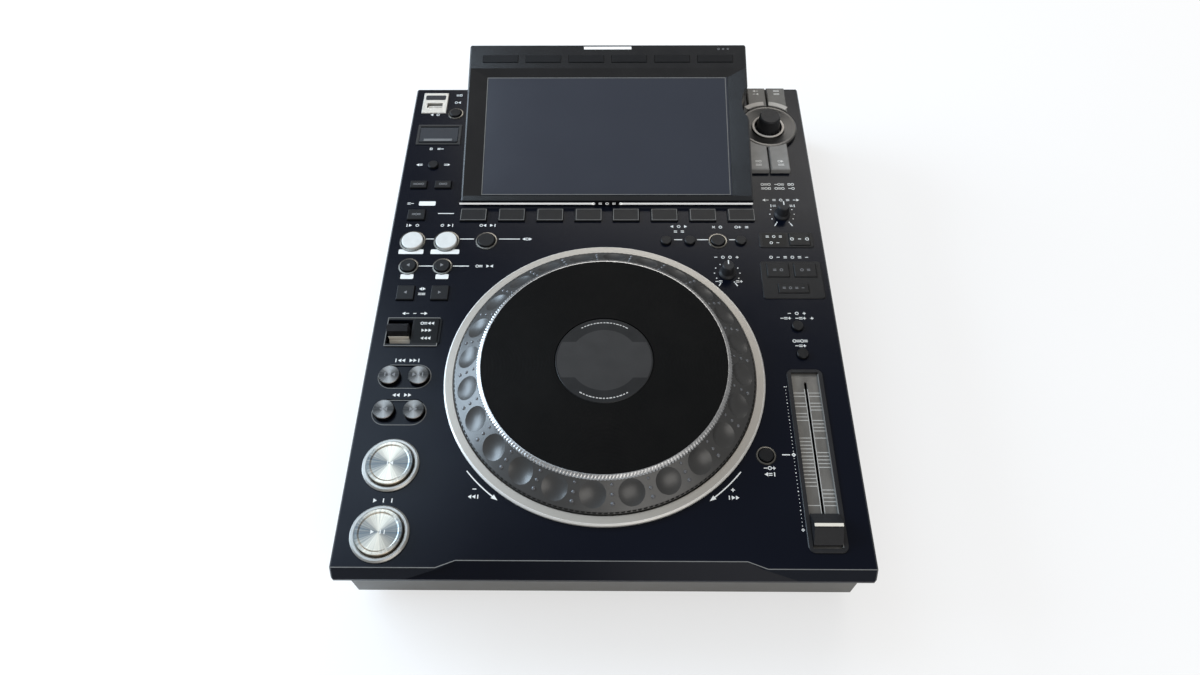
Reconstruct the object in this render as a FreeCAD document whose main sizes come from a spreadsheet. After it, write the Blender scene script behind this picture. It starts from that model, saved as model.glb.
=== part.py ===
import FreeCAD, Part
import math
import os
import Sketcher

# Tabletop digital deck: X to the right, Y to the back, Z up, millimetres.
# The origin is on the floor under the middle of the whole outline.

doc = FreeCAD.newDocument("TabletopDeck")
sheet = doc.addObject("Spreadsheet::Sheet", "Dims")
kept = []


# Named sizes
def size(cells):
    for name, value in cells.items():
        row = len(sheet.getUsedCells()) // 2 + 1
        sheet.set(f"A{row}", name)
        sheet.set(f"B{row}", str(value))
        sheet.setAlias(f"B{row}", name)
        doc.recompute([sheet])


# Overall outline and the heights of its layers
CASE = {
    "case_width": 329, "case_depth": 453, "full_height": 118, "deck": 74, "foot_height": 7, "seam": 46,
    "wall": 3, "sheet_wall": 1.6, "side_bevel": 1.2, "chassis_inset": 1.5,
    # Front nose: its reach past the deck edge, the height of its face, the middle stretch set back
    "nose_reach": 4.6, "nose_drop": 7.5, "nose_face": 2.5, "nose_under": 7, "nose_middle_back": 4.5,
    "middle_left": -88.8, "middle_right": 86.9, "middle_slant": 24,
    # The case below the nose and the rear slope
    "chassis_setback": 10.5, "rear_run": 28.4, "rear_setback": 10,
    # Running gaps, flanges that hold the keys under the deck, and their rise
    "key_gap": 0.3, "fit": 0.06, "lip": 1.2, "lip_thick": 1.5, "key_rise": 1.6, "round_rise": 2.2,
    "key_bevel": 0.4,
}
size(CASE)


def value_of(expression):
    result = sheet.evalExpression(expression.replace("Dims.", ""))
    return float(getattr(result, "Value", result))


# Drawing helpers: every length is an expression on the sheet
def body_named(label, x="0", y="0", z="Dims.deck"):
    body = doc.addObject("PartDesign::Body", label)
    body.Label = label
    body.setExpression("Placement.Base.x", x)
    body.setExpression("Placement.Base.y", y)
    body.setExpression("Placement.Base.z", z)
    kept.append(body)
    return body


def origin_item(body, role):
    return next(item for item in body.Origin.OriginFeatures if item.Role == role)


def sketch_on(body, role, lift="0"):
    sketch = body.newObject("Sketcher::SketchObject", body.Name + "_sketch")
    sketch.AttachmentSupport = [(origin_item(body, role), "")]
    sketch.MapMode = "FlatFace"
    sketch.setExpression("AttachmentOffset.Base.z", lift)
    return sketch


def bind(sketch, constraint, expression):
    number = sketch.addConstraint(constraint)
    sketch.setExpression(f"Constraints[{number}]", expression)


def pin_point(sketch, edge, corner, x, y):
    bind(sketch, Sketcher.Constraint("DistanceX", -1, 1, edge, corner, value_of(x)), x)
    bind(sketch, Sketcher.Constraint("DistanceY", -1, 1, edge, corner, value_of(y)), y)


def polygon(sketch, points):
    places = [FreeCAD.Vector(value_of(x), value_of(y), 0) for x, y in points]
    first = sketch.GeometryCount
    count = len(points)
    for index in range(count):
        sketch.addGeometry(Part.LineSegment(places[index], places[(index + 1) % count]), False)
    for index in range(count):
        following = first + (index + 1) % count
        sketch.addConstraint(Sketcher.Constraint("Coincident", first + index, 2, following, 1))
    for index, (x, y) in enumerate(points):
        pin_point(sketch, first + index, 1, x, y)
    return sketch


def rectangle(sketch, x, y, width, depth):
    left, right = f"{x} - ({width}) / 2", f"{x} + ({width}) / 2"
    front, back = f"{y} - ({depth}) / 2", f"{y} + ({depth}) / 2"
    return polygon(sketch, [(left, front), (right, front), (right, back), (left, back)])


def circle(sketch, x, y, radius):
    centre = FreeCAD.Vector(value_of(x), value_of(y), 0)
    ring = Part.Circle(centre, FreeCAD.Vector(0, 0, 1), value_of(radius))
    number = sketch.addGeometry(ring, False)
    pin_point(sketch, number, 3, x, y)
    bind(sketch, Sketcher.Constraint("Radius", number, value_of(radius)), radius)
    return sketch


def capsule(sketch, x, y, span, radius):
    # Two half circles a span apart, joined by tangent lines
    half, round_radius = value_of(span) / 2, value_of(radius)
    middle = FreeCAD.Vector(value_of(x), value_of(y), 0)
    up, aside = FreeCAD.Vector(0, round_radius, 0), FreeCAD.Vector(half, 0, 0)
    axis = FreeCAD.Vector(0, 0, 1)
    first = sketch.GeometryCount
    right_circle = Part.Circle(middle + aside, axis, round_radius)
    left_circle = Part.Circle(middle - aside, axis, round_radius)
    quarter = math.pi / 2
    sketch.addGeometry(Part.ArcOfCircle(right_circle, -quarter, quarter), False)
    sketch.addGeometry(Part.LineSegment(middle + aside + up, middle - aside + up), False)
    sketch.addGeometry(Part.ArcOfCircle(left_circle, quarter, 3 * quarter), False)
    sketch.addGeometry(Part.LineSegment(middle - aside - up, middle + aside - up), False)
    for index in range(4):
        following = first + (index + 1) % 4
        sketch.addConstraint(Sketcher.Constraint("Tangent", first + index, 2, following, 1))
    pin_point(sketch, first, 3, f"{x} + ({span}) / 2", y)
    pin_point(sketch, first + 2, 3, f"{x} - ({span}) / 2", y)
    bind(sketch, Sketcher.Constraint("Radius", first, round_radius), radius)
    return sketch


def pad(body, sketch, length, both_ways=False):
    feature = body.newObject("PartDesign::Pad", body.Name + "_pad")
    feature.Profile = sketch
    feature.setExpression("Length", length)
    feature.Midplane = both_ways
    doc.recompute()
    return feature


def pocket(body, sketch, length, both_ways=False, upward=False):
    before = body.Shape.Volume
    feature = body.newObject("PartDesign::Pocket", body.Name + "_pocket")
    feature.Profile = sketch
    feature.setExpression("Length", length)
    feature.Midplane = both_ways
    feature.Reversed = upward
    doc.recompute()
    if body.Shape.Volume >= before:
        raise RuntimeError(f"{body.Label}: a pocket cuts nothing")
    return feature


def turned(body, points):
    # A half outline in radius and height, turned about the upright axis
    sketch = polygon(sketch_on(body, "XZ_Plane"), points)
    feature = body.newObject("PartDesign::Revolution", body.Name + "_turn")
    feature.Profile = sketch
    feature.ReferenceAxis = (sketch, ["V_Axis"])
    feature.Angle = 360
    doc.recompute()
    return feature


def around(body, feature, count):
    # The feature repeated evenly about the body's upright axis
    pattern = body.newObject("PartDesign::PolarPattern", body.Name + "_ring")
    pattern.Originals = [feature]
    pattern.Axis = (origin_item(body, "Z_Axis"), [""])
    pattern.Angle = 360
    pattern.setExpression("Occurrences", count)
    body.Tip = pattern
    doc.recompute()
    return pattern


def edges_where(feature, test):
    edges = feature.Shape.Edges
    return [f"Edge{number + 1}" for number, edge in enumerate(edges) if test(edge)]


def bevel(body, feature, test, width):
    cut = body.newObject("PartDesign::Chamfer", body.Name + "_bevel")
    cut.Base = (feature, edges_where(feature, test))
    cut.setExpression("Size", width)
    doc.recompute()
    return cut


def rounding(body, feature, test, radius):
    blend = body.newObject("PartDesign::Fillet", body.Name + "_round")
    blend.Base = (feature, edges_where(feature, test))
    blend.setExpression("Radius", radius)
    doc.recompute()
    return blend


def flat_at(height):
    return lambda edge: all(abs(v.Z - height) < 1e-4 for v in edge.Vertexes)


def on_side(edge):
    # An edge of one of the two flat ends across the width
    return edge.BoundBox.XLength < 1e-4


def upright(edge):
    return edge.BoundBox.ZLength > 0.5 and edge.BoundBox.XLength < 1e-4


def joined(label, pieces):
    # Several like pieces that share one file
    for piece in pieces:
        kept.remove(piece)
    group = doc.addObject("Part::Compound", label)
    group.Label = label
    group.Links = pieces
    kept.append(group)
    return group


# Controls: a cap through the deck, held from below by a lip under its wall
def round_control(label, radius, rise="Dims.round_rise", dish=None):
    body = body_named(label, f"Dims.{label}_x", f"Dims.{label}_y")
    foot, shelf = "-Dims.wall - Dims.lip_thick", "-Dims.wall"
    outline = [("0", foot), (f"{radius} + Dims.lip", foot), (f"{radius} + Dims.lip", shelf),
               (radius, shelf), (radius, f"{rise} - Dims.key_bevel"),
               (f"{radius} - Dims.key_bevel", rise)]
    if dish:
        outline += [(f"{radius} * 0.86", rise), (f"{radius} * 0.80", f"{rise} - {dish}"),
                    ("0", f"{rise} - {dish}")]
    else:
        outline.append(("0", rise))
    turned(body, outline)
    return body


def flat_key(label, width, depth, x=None, y=None, rise="Dims.key_rise"):
    body = body_named(label, x or f"Dims.{label}_x", y or f"Dims.{label}_y")
    flange = sketch_on(body, "XY_Plane", "-Dims.wall - Dims.lip_thick")
    rectangle(flange, "0", "0", f"{width} + 2 * Dims.lip", f"{depth} + 2 * Dims.lip")
    pad(body, flange, "Dims.lip_thick")
    cap = rectangle(sketch_on(body, "XY_Plane", "-Dims.wall"), "0", "0", width, depth)
    top = pad(body, cap, f"Dims.wall + {rise}")
    bevel(body, top, flat_at(value_of(rise)), "Dims.key_bevel")
    return body


# Where each control sits on the deck, and how large it is
CONTROLS = {
    "cue_button_x": -136.5, "cue_button_y": -155.3, "play_button_x": -136.8, "play_button_y": -201,
    "big_radius": 14.8, "big_ring_radius": 18.3, "big_rise": 4.5,
    "track_back_x": -146.6, "track_next_x": -126.6, "track_back_y": -89.5, "track_next_y": -89.5,
    "search_back_x": -146.6, "search_next_x": -126.6, "search_back_y": -116, "search_next_y": -116,
    "skip_radius": 7.1, "skip_rise": 3, "tray_radius": 8.9, "tray_span": 17.7, "tray_depth": 1,
    "beat_jump_back_x": -145.3, "beat_jump_next_x": -120.3, "beat_jump_back_y": -19.5,
    "beat_jump_next_y": -19.5, "jump_side": 12.6,
    "beat_loop_half_x": -146.5, "beat_loop_double_x": -121.2, "beat_loop_half_y": 5,
    "beat_loop_double_y": 5, "beat_loop_radius": 5.6,
    "loop_in_x": -146.5, "loop_out_x": -120.7, "loop_in_y": 29, "loop_out_y": 29, "loop_radius": 8,
    "reloop_x": -90.4, "reloop_y": 29.5, "reloop_radius": 6.4,
    "slip_key_x": -146.8, "slip_key_y": 55, "slip_width": 13.4, "slip_depth": 10.2,
    "quantize_key_x": -149, "quantize_key_y": 86.6, "time_key_x": -129.5, "time_key_y": 86.6,
    "slim_width": 13, "slim_depth": 7.6,
    "time_mode_x": -140, "time_mode_y": 107.9, "small_radius": 4,
    "media_stop_x": -127.8, "media_stop_y": 168, "media_stop_radius": 4.6,
    "call_back_x": 45.8, "call_next_x": 63.9, "call_back_y": 29.5, "call_next_y": 29.5,
    "delete_button_x": 85, "delete_button_y": 29.5, "delete_radius": 5.2,
    "memory_button_x": 102.4, "memory_button_y": 29.5,
    "mode_key_x": 146.6, "mode_key_y": 30.5, "mode_width": 15.4, "mode_depth": 11.4,
    "sync_key_x": 127.4, "sync_key_y": 1.2, "master_key_x": 147.4, "master_key_y": 1.2,
    "tone_key_x": 137, "tone_key_y": -15.2, "sync_width": 16.2, "sync_depth": 12,
    "tone_width": 21.9, "tone_depth": 8.1,
    "tempo_range_x": 136.2, "tempo_range_y": -47.9, "tempo_hold_x": 137, "tempo_hold_y": -71.1,
    "tempo_reset_x": 104.4, "tempo_reset_y": -147.8, "tempo_reset_radius": 4.6,
    "hot_middle": 1, "hot_pitch": 29.5, "hot_y": 54.8, "hot_width": 20.5, "hot_depth": 12.2,
    "vinyl_knob_x": 136.4, "vinyl_knob_y": 56.4, "jog_adjust_knob_x": 90, "jog_adjust_knob_y": -0.7,
}
size(CONTROLS)

ROUND_CONTROLS = {
    "cue_button": "Dims.big_radius", "play_button": "Dims.big_radius",
    "track_back": "Dims.skip_radius", "track_next": "Dims.skip_radius",
    "search_back": "Dims.skip_radius", "search_next": "Dims.skip_radius",
    "beat_loop_half": "Dims.beat_loop_radius", "beat_loop_double": "Dims.beat_loop_radius",
    "loop_in": "Dims.loop_radius", "loop_out": "Dims.loop_radius",
    "reloop": "Dims.reloop_radius", "time_mode": "Dims.small_radius",
    "media_stop": "Dims.media_stop_radius", "call_back": "Dims.small_radius",
    "call_next": "Dims.small_radius", "delete_button": "Dims.delete_radius",
    "memory_button": "Dims.small_radius", "tempo_range": "Dims.small_radius",
    "tempo_hold": "Dims.small_radius", "tempo_reset": "Dims.tempo_reset_radius",
}
FLAT_KEYS = {
    "beat_jump_back": ("Dims.jump_side", "Dims.jump_side"),
    "beat_jump_next": ("Dims.jump_side", "Dims.jump_side"),
    "slip_key": ("Dims.slip_width", "Dims.slip_depth"),
    "quantize_key": ("Dims.slim_width", "Dims.slim_depth"),
    "time_key": ("Dims.slim_width", "Dims.slim_depth"),
    "mode_key": ("Dims.mode_width", "Dims.mode_depth"),
    "sync_key": ("Dims.sync_width", "Dims.sync_depth"),
    "master_key": ("Dims.sync_width", "Dims.sync_depth"),
    "tone_key": ("Dims.tone_width", "Dims.tone_depth"),
}
HOT_PLACES = [f"Dims.hot_middle + Dims.hot_pitch * ({index} - 3.5)" for index in range(8)]

# Larger parts on the deck
WHEEL_AND_TRIM = {
    "jog_y": -87, "jog_ring_radius": 109.15, "jog_ring_inner": 102.6, "jog_well_radius": 103.7,
    "jog_ring_rise": 3, "jog_tub_depth": 14, "jog_tub_wall": 2,
    "jog_radius": 102.2, "jog_edge_rise": 4, "platter_radius": 82.3, "platter_rise": 18.9,
    "jog_slope_out": 100.4, "jog_slope_rise": 5.6, "jog_slope_in": 84.6, "jog_rim_rise": 17,
    "dimple_count": 24, "dimple_depth": 2.2, "dimple_radius": 8.8, "dimple_start": -4,
    "label_radius": 33, "label_drop": 2.9, "post_radius": 8, "hub_radius": 18,
    "selector_x": 134.2, "selector_y": 149.2, "dish_radius": 23.6, "dish_bore": 11.2,
    "selector_radius": 9.8, "selector_top_radius": 8.4, "selector_rise": 15, "shaft_radius": 3,
    "knob_radius": 6.3, "knob_top_radius": 4.8, "knob_rise": 10,
    "fader_x": 136.3, "fader_y": -147.6, "fader_width": 24.4, "fader_length": 128.4, "fader_round": 4.5,
    "fader_plate_width": 18.6, "fader_travel": 100.4, "fader_slot": 1.8, "fader_frame_rise": 1,
    "cap_rest_y": -197.2, "cap_width": 17.6, "cap_length": 20, "cap_rise": 9,
    "lever_x": -145.2, "lever_y": -53.3, "lever_well_width": 17, "lever_well_depth": 19.5,
    "lever_frame_x": -135.9, "lever_frame_y": -53.3, "lever_frame_width": 37.8,
    "lever_frame_depth": 24.6,
    "lever_width": 14.6, "lever_depth": 7, "lever_rise": 8, "lever_pivot_drop": 11,
    "mode_frame_x": 136.6, "mode_frame_y": 30.5, "mode_frame_width": 40.8, "mode_frame_depth": 14.6,
    "sync_frame_x": 137.1, "sync_frame_y": -7, "sync_frame_width": 44.7, "sync_frame_depth": 33.8,
    "frame_rise": 0.8, "frame_round": 2,
    "usb_x": -146.7, "usb_y": 180.7, "usb_plate_width": 21.1, "usb_plate_depth": 24.8,
    "usb_port_y": -3.2, "usb_port_width": 13.1, "usb_port_depth": 5.8, "usb_reach": 16,
    "card_x": -139.3, "card_y": 143, "card_frame_width": 36.4, "card_frame_depth": 23,
    "card_well_width": 31, "card_well_depth": 17, "card_reach": 10,
}
size(WHEEL_AND_TRIM)


# The moulded upper case
def upper_case():
    body = body_named("upper_case", z="0")
    front, back = "-Dims.case_depth / 2", "Dims.case_depth / 2"
    nose_top = "Dims.deck - Dims.nose_drop"
    nose_low = f"{nose_top} - Dims.nose_face"
    inset = f"{front} + Dims.chassis_setback"
    deck_back = f"{back} - Dims.rear_run"
    outline = sketch_on(body, "YZ_Plane")
    polygon(outline, [
        (f"{front} + Dims.nose_reach", "Dims.deck"), (front, nose_top), (front, nose_low),
        (inset, f"{nose_low} - Dims.nose_under"), (inset, "Dims.seam"),
        (back, "Dims.seam"), (deck_back, "Dims.deck"),
    ])
    block = pad(body, outline, "Dims.case_width", both_ways=True)
    bevel(body, block, on_side, "Dims.side_bevel")

    inner_back = f"{back} - Dims.rear_setback - Dims.wall"
    ceiling = "Dims.deck - Dims.wall"
    slope_height = f"Dims.seam + (Dims.rear_setback - 1) * (Dims.deck - Dims.seam) / Dims.rear_run"
    nose_inside = f"{front} + Dims.nose_reach + Dims.wall"
    hollow = sketch_on(body, "YZ_Plane")
    polygon(hollow, [
        (f"{inset} + Dims.wall", "Dims.seam - 1"), (inner_back, "Dims.seam - 1"),
        (inner_back, slope_height), (f"{deck_back} - 1.6", ceiling),
        (nose_inside, ceiling), (nose_inside, f"{nose_low} - 0.5"),
        (f"{inset} + Dims.wall", f"{nose_low} - 4"),
    ])
    pocket(body, hollow, "Dims.case_width - 2 * Dims.wall", both_ways=True)
    nose_setback(body, front, nose_top)
    deck_openings(body)
    return body


def nose_setback(body, front, nose_top):
    # The nose falls away earlier along its middle, with slanted ends
    edge = f"{front} + Dims.nose_reach + Dims.nose_middle_back"
    run = "(Dims.nose_reach + Dims.nose_middle_back)"
    sketch = sketch_on(body, "XY_Plane", "Dims.deck")
    sketch.setExpression("AttachmentOffset.Base.y", edge)
    sketch.AttachmentOffset = FreeCAD.Placement(
        sketch.AttachmentOffset.Base, FreeCAD.Rotation(FreeCAD.Vector(1, 0, 0), 1))
    sketch.setExpression("AttachmentOffset.Rotation.Angle", f"atan(Dims.nose_drop / {run})")
    reach = f"-2 * {run}"
    polygon(sketch, [
        ("Dims.middle_left", "0"), (f"Dims.middle_left - Dims.middle_slant * 2", reach),
        (f"Dims.middle_right + Dims.middle_slant * 2", reach), ("Dims.middle_right", "0"),
    ])
    pocket(body, sketch, "Dims.nose_drop * 2", upward=True)


def deck_openings(body):
    through = "Dims.wall * 2"
    above = "Dims.deck + Dims.wall / 2"
    gap = "Dims.key_gap"

    rounds = sketch_on(body, "XY_Plane", above)
    for label, radius in ROUND_CONTROLS.items():
        circle(rounds, f"Dims.{label}_x", f"Dims.{label}_y", f"{radius} + {gap}")
    circle(rounds, "0", "Dims.jog_y", "Dims.jog_well_radius")
    for label in ("selector", "vinyl_knob", "jog_adjust_knob"):
        circle(rounds, f"Dims.{label}_x", f"Dims.{label}_y", "Dims.shaft_radius + Dims.fit")
    pocket(body, rounds, through)

    squares = sketch_on(body, "XY_Plane", above)
    for label, (width, depth) in FLAT_KEYS.items():
        rectangle(squares, f"Dims.{label}_x", f"Dims.{label}_y",
                  f"{width} + 2 * {gap}", f"{depth} + 2 * {gap}")
    for place in HOT_PLACES:
        rectangle(squares, place, "Dims.hot_y",
                  f"Dims.hot_width + 2 * {gap}", f"Dims.hot_depth + 2 * {gap}")
    pocket(body, squares, through)

    larger = sketch_on(body, "XY_Plane", above)
    rectangle(larger, "Dims.usb_x", "Dims.usb_y",
              "Dims.usb_plate_width - 2", "Dims.usb_plate_depth - 2")
    rectangle(larger, "Dims.card_x", "Dims.card_y",
              "Dims.card_frame_width - 2", "Dims.card_frame_depth - 2")
    rectangle(larger, "Dims.lever_x", "Dims.lever_y",
              "Dims.lever_well_width", "Dims.lever_well_depth")
    rectangle(larger, "Dims.fader_x", "Dims.fader_y",
              "Dims.fader_width - 4", "Dims.fader_length - 4")
    for label, (left, right, low, high) in SELECTOR_KEYS.items():
        rectangle(larger, f"({left} + {right}) / 2", f"({low} + {high}) / 2",
                  f"{right} - ({left}) + 2 * {gap}", f"{high} - ({low}) + 2 * {gap}")
    pocket(body, larger, through)

    trays = sketch_on(body, "XY_Plane", "Dims.deck")
    for row in ("track", "search"):
        capsule(trays, f"(Dims.{row}_back_x + Dims.{row}_next_x) / 2", f"Dims.{row}_back_y",
                "Dims.tray_span", "Dims.tray_radius")
    pocket(body, trays, "Dims.tray_depth")


# The four keys about the selector: left, right, front and back edges
SELECTOR_KEY_SIZES = {
    "upper_split": 1.8, "lower_split": -2.9, "selector_key_width": 15.2, "selector_key_slit": 0.7,
    "upper_key_reach": 46.2, "lower_key_reach": 49.4, "dish_cover": 14, "selector_key_rise": 4.2,
}
size(SELECTOR_KEY_SIZES)
UPPER_SPLIT = "(Dims.selector_x + Dims.upper_split)"
LOWER_SPLIT = "(Dims.selector_x + Dims.lower_split)"
KEY_FAR = "(Dims.selector_key_slit + Dims.selector_key_width)"
UPPER_ENDS = ("Dims.selector_y + Dims.dish_cover", "Dims.selector_y + Dims.upper_key_reach")
LOWER_ENDS = ("Dims.selector_y - Dims.lower_key_reach", "Dims.selector_y - Dims.dish_cover")
SELECTOR_KEYS = {
    "menu_key": (f"{UPPER_SPLIT} - {KEY_FAR}", f"{UPPER_SPLIT} - Dims.selector_key_slit",
                 *UPPER_ENDS),
    "tag_key": (f"{UPPER_SPLIT} + Dims.selector_key_slit", f"{UPPER_SPLIT} + {KEY_FAR}",
                *UPPER_ENDS),
    "filter_key": (f"{LOWER_SPLIT} - {KEY_FAR}", f"{LOWER_SPLIT} - Dims.selector_key_slit",
                   *LOWER_ENDS),
    "shortcut_key": (f"{LOWER_SPLIT} + Dims.selector_key_slit", f"{LOWER_SPLIT} + {KEY_FAR}",
                     *LOWER_ENDS),
}


def selector_key(label, left, right, low, high):
    # A flat key whose inner end is hollowed to clear the round dish
    body = body_named(label, f"({left} + {right}) / 2", f"({low} + {high}) / 2")
    width, depth = f"({right} - ({left}))", f"({high} - ({low}))"
    outward = "-1" if label in ("menu_key", "filter_key") else "1"
    shelf = sketch_on(body, "XY_Plane", "-Dims.wall - Dims.lip_thick")
    rectangle(shelf, f"{outward} * Dims.lip / 2", "0", f"{width} + Dims.lip", depth)
    pad(body, shelf, "Dims.lip_thick")
    cap = rectangle(sketch_on(body, "XY_Plane", "-Dims.wall"), "0", "0", width, depth)
    top = pad(body, cap, "Dims.wall + Dims.selector_key_rise")
    bevel(body, top, flat_at(value_of("Dims.selector_key_rise")), "Dims.key_bevel * 2")
    clear = sketch_on(body, "XY_Plane", "Dims.selector_key_rise")
    circle(clear, f"Dims.selector_x - ({left} + {right}) / 2",
           f"Dims.selector_y - ({low} + {high}) / 2", "Dims.dish_radius + Dims.key_gap")
    pocket(body, clear, "Dims.selector_key_rise + 0.4")
    return body


# The pressed lower case: a tray with walls, vents and socket cut-outs
LOWER_CASE = {
    "vent_count": 14, "vent_pitch": 9, "vent_width": 3, "vent_height": 16, "vent_y": 70, "vent_z": 20,
    "inlet_x": -118, "inlet_z": 27, "inlet_width": 27, "inlet_height": 20.4,
    "switch_x": -84, "switch_width": 15, "switch_height": 21,
    "jack_x": 60, "jack_pitch": 16, "socket_z": 27, "data_x": 112, "data_depth": 13,
    "socket_plate_x": 83, "socket_plate_width": 102, "socket_plate_height": 22,
    "lock_x": 145, "lock_z": 30, "lock_width": 7, "lock_height": 3,
}
size(LOWER_CASE)


def lower_case():
    body = body_named("lower_case", z="0")
    front = "-Dims.case_depth / 2 + Dims.chassis_setback"
    back = "Dims.case_depth / 2 - Dims.rear_setback"
    middle = f"({front} + {back}) / 2"
    length = f"({back} - ({front}))"
    width = "(Dims.case_width - 2 * Dims.chassis_inset)"
    base = rectangle(sketch_on(body, "XY_Plane", "Dims.foot_height"), "0", middle, width, length)
    block = pad(body, base, "Dims.seam - Dims.foot_height")
    bevel(body, block, flat_at(value_of("Dims.foot_height")), "Dims.side_bevel * 2")
    inside = sketch_on(body, "XY_Plane", "Dims.seam")
    rectangle(inside, "0", middle, f"{width} - 2 * Dims.sheet_wall",
              f"{length} - 2 * Dims.sheet_wall")
    pocket(body, inside, "Dims.seam - Dims.foot_height - Dims.sheet_wall")

    vents = sketch_on(body, "YZ_Plane")
    rectangle(vents, "Dims.vent_y", "Dims.vent_z + Dims.vent_height / 2",
              "Dims.vent_width", "Dims.vent_height")
    slot = pocket(body, vents, "Dims.case_width", both_ways=True)
    row = body.newObject("PartDesign::LinearPattern", "vent_row")
    row.Originals = [slot]
    row.Direction = (origin_item(body, "Y_Axis"), [""])
    row.setExpression("Length", "Dims.vent_pitch * (Dims.vent_count - 1)")
    row.setExpression("Occurrences", "Dims.vent_count")
    body.Tip = row
    doc.recompute()

    rear = sketch_on(body, "XZ_Plane", f"-({back} + 1)")
    rectangle(rear, "Dims.inlet_x", "Dims.inlet_z", "Dims.inlet_width", "Dims.inlet_height")
    rectangle(rear, "Dims.switch_x", "Dims.inlet_z", "Dims.switch_width", "Dims.switch_height")
    rectangle(rear, "Dims.socket_plate_x", "Dims.socket_z",
              "Dims.socket_plate_width - 3", "Dims.socket_plate_height - 3")
    rectangle(rear, "Dims.lock_x", "Dims.lock_z", "Dims.lock_width", "Dims.lock_height")
    pocket(body, rear, "Dims.sheet_wall + 2", upward=True)
    return body


FEET = {
    "foot_radius": 13, "foot_taper": 2, "foot_in_x": 32, "foot_in_front": 40, "foot_in_back": 34,
}
size(FEET)


def feet():
    pieces = []
    for side in ("-1", "1"):
        x = f"{side} * (Dims.case_width / 2 - Dims.foot_in_x)"
        for y in ("-Dims.case_depth / 2 + Dims.foot_in_front",
                  "Dims.case_depth / 2 - Dims.foot_in_back"):
            foot = body_named("foot", x, y, "0")
            turned(foot, [("0", "0"), ("Dims.foot_radius - Dims.foot_taper", "0"),
                          ("Dims.foot_radius", "Dims.foot_taper"),
                          ("Dims.foot_radius", "Dims.foot_height"), ("0", "Dims.foot_height")])
            pieces.append(foot)
    joined("feet", pieces)


# The raised screen housing, a wedge with its face tilted to the user
SCREEN = {
    "screen_x": 1, "screen_width": 227.2, "screen_front": 65.1, "screen_step": 6, "screen_top_y": 201.1,
    "screen_back_y": 204.5, "screen_back_drop": 2.6, "screen_back_lap": 7.5,
    "bezel_side": 1.4, "bezel_low": 4, "bezel_high": 119.4, "bezel_sink": 3.2,
    "glass_width": 195, "glass_low": 6, "glass_high": 112.4, "glass_thick": 1.6,
    "strip_key_pitch": 35.2, "strip_key_width": 28.6, "strip_key_low": 125, "strip_key_depth": 6.6,
    "strip_key_thick": 2.4, "strip_key_proud": 0.5, "strip_well": 3.2,
}
size(SCREEN)
TILT = "atan((Dims.full_height - Dims.deck - Dims.screen_step) / (Dims.screen_top_y - Dims.screen_front))"


def tilted_sketch(body, sink="0"):
    # A drawing plane on the tilted face, its origin at the middle of the lower edge
    sketch = body.newObject("Sketcher::SketchObject", body.Name + "_sketch")
    sketch.AttachmentSupport = [(origin_item(body, "XY_Plane"), "")]
    sketch.MapMode = "FlatFace"
    sketch.AttachmentOffset = FreeCAD.Placement(
        FreeCAD.Vector(), FreeCAD.Rotation(FreeCAD.Vector(1, 0, 0), 1))
    sketch.setExpression("AttachmentOffset.Rotation.Angle", TILT)
    sketch.setExpression("AttachmentOffset.Base.y", f"Dims.screen_front + ({sink}) * sin({TILT})")
    sketch.setExpression("AttachmentOffset.Base.z",
                         f"Dims.screen_step - ({sink}) * cos({TILT})")
    return sketch


def face_rectangle(sketch, half_width, low, high, x="0"):
    return polygon(sketch, [(f"{x} - {half_width}", low), (f"{x} + {half_width}", low),
                            (f"{x} + {half_width}", high), (f"{x} - {half_width}", high)])


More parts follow.
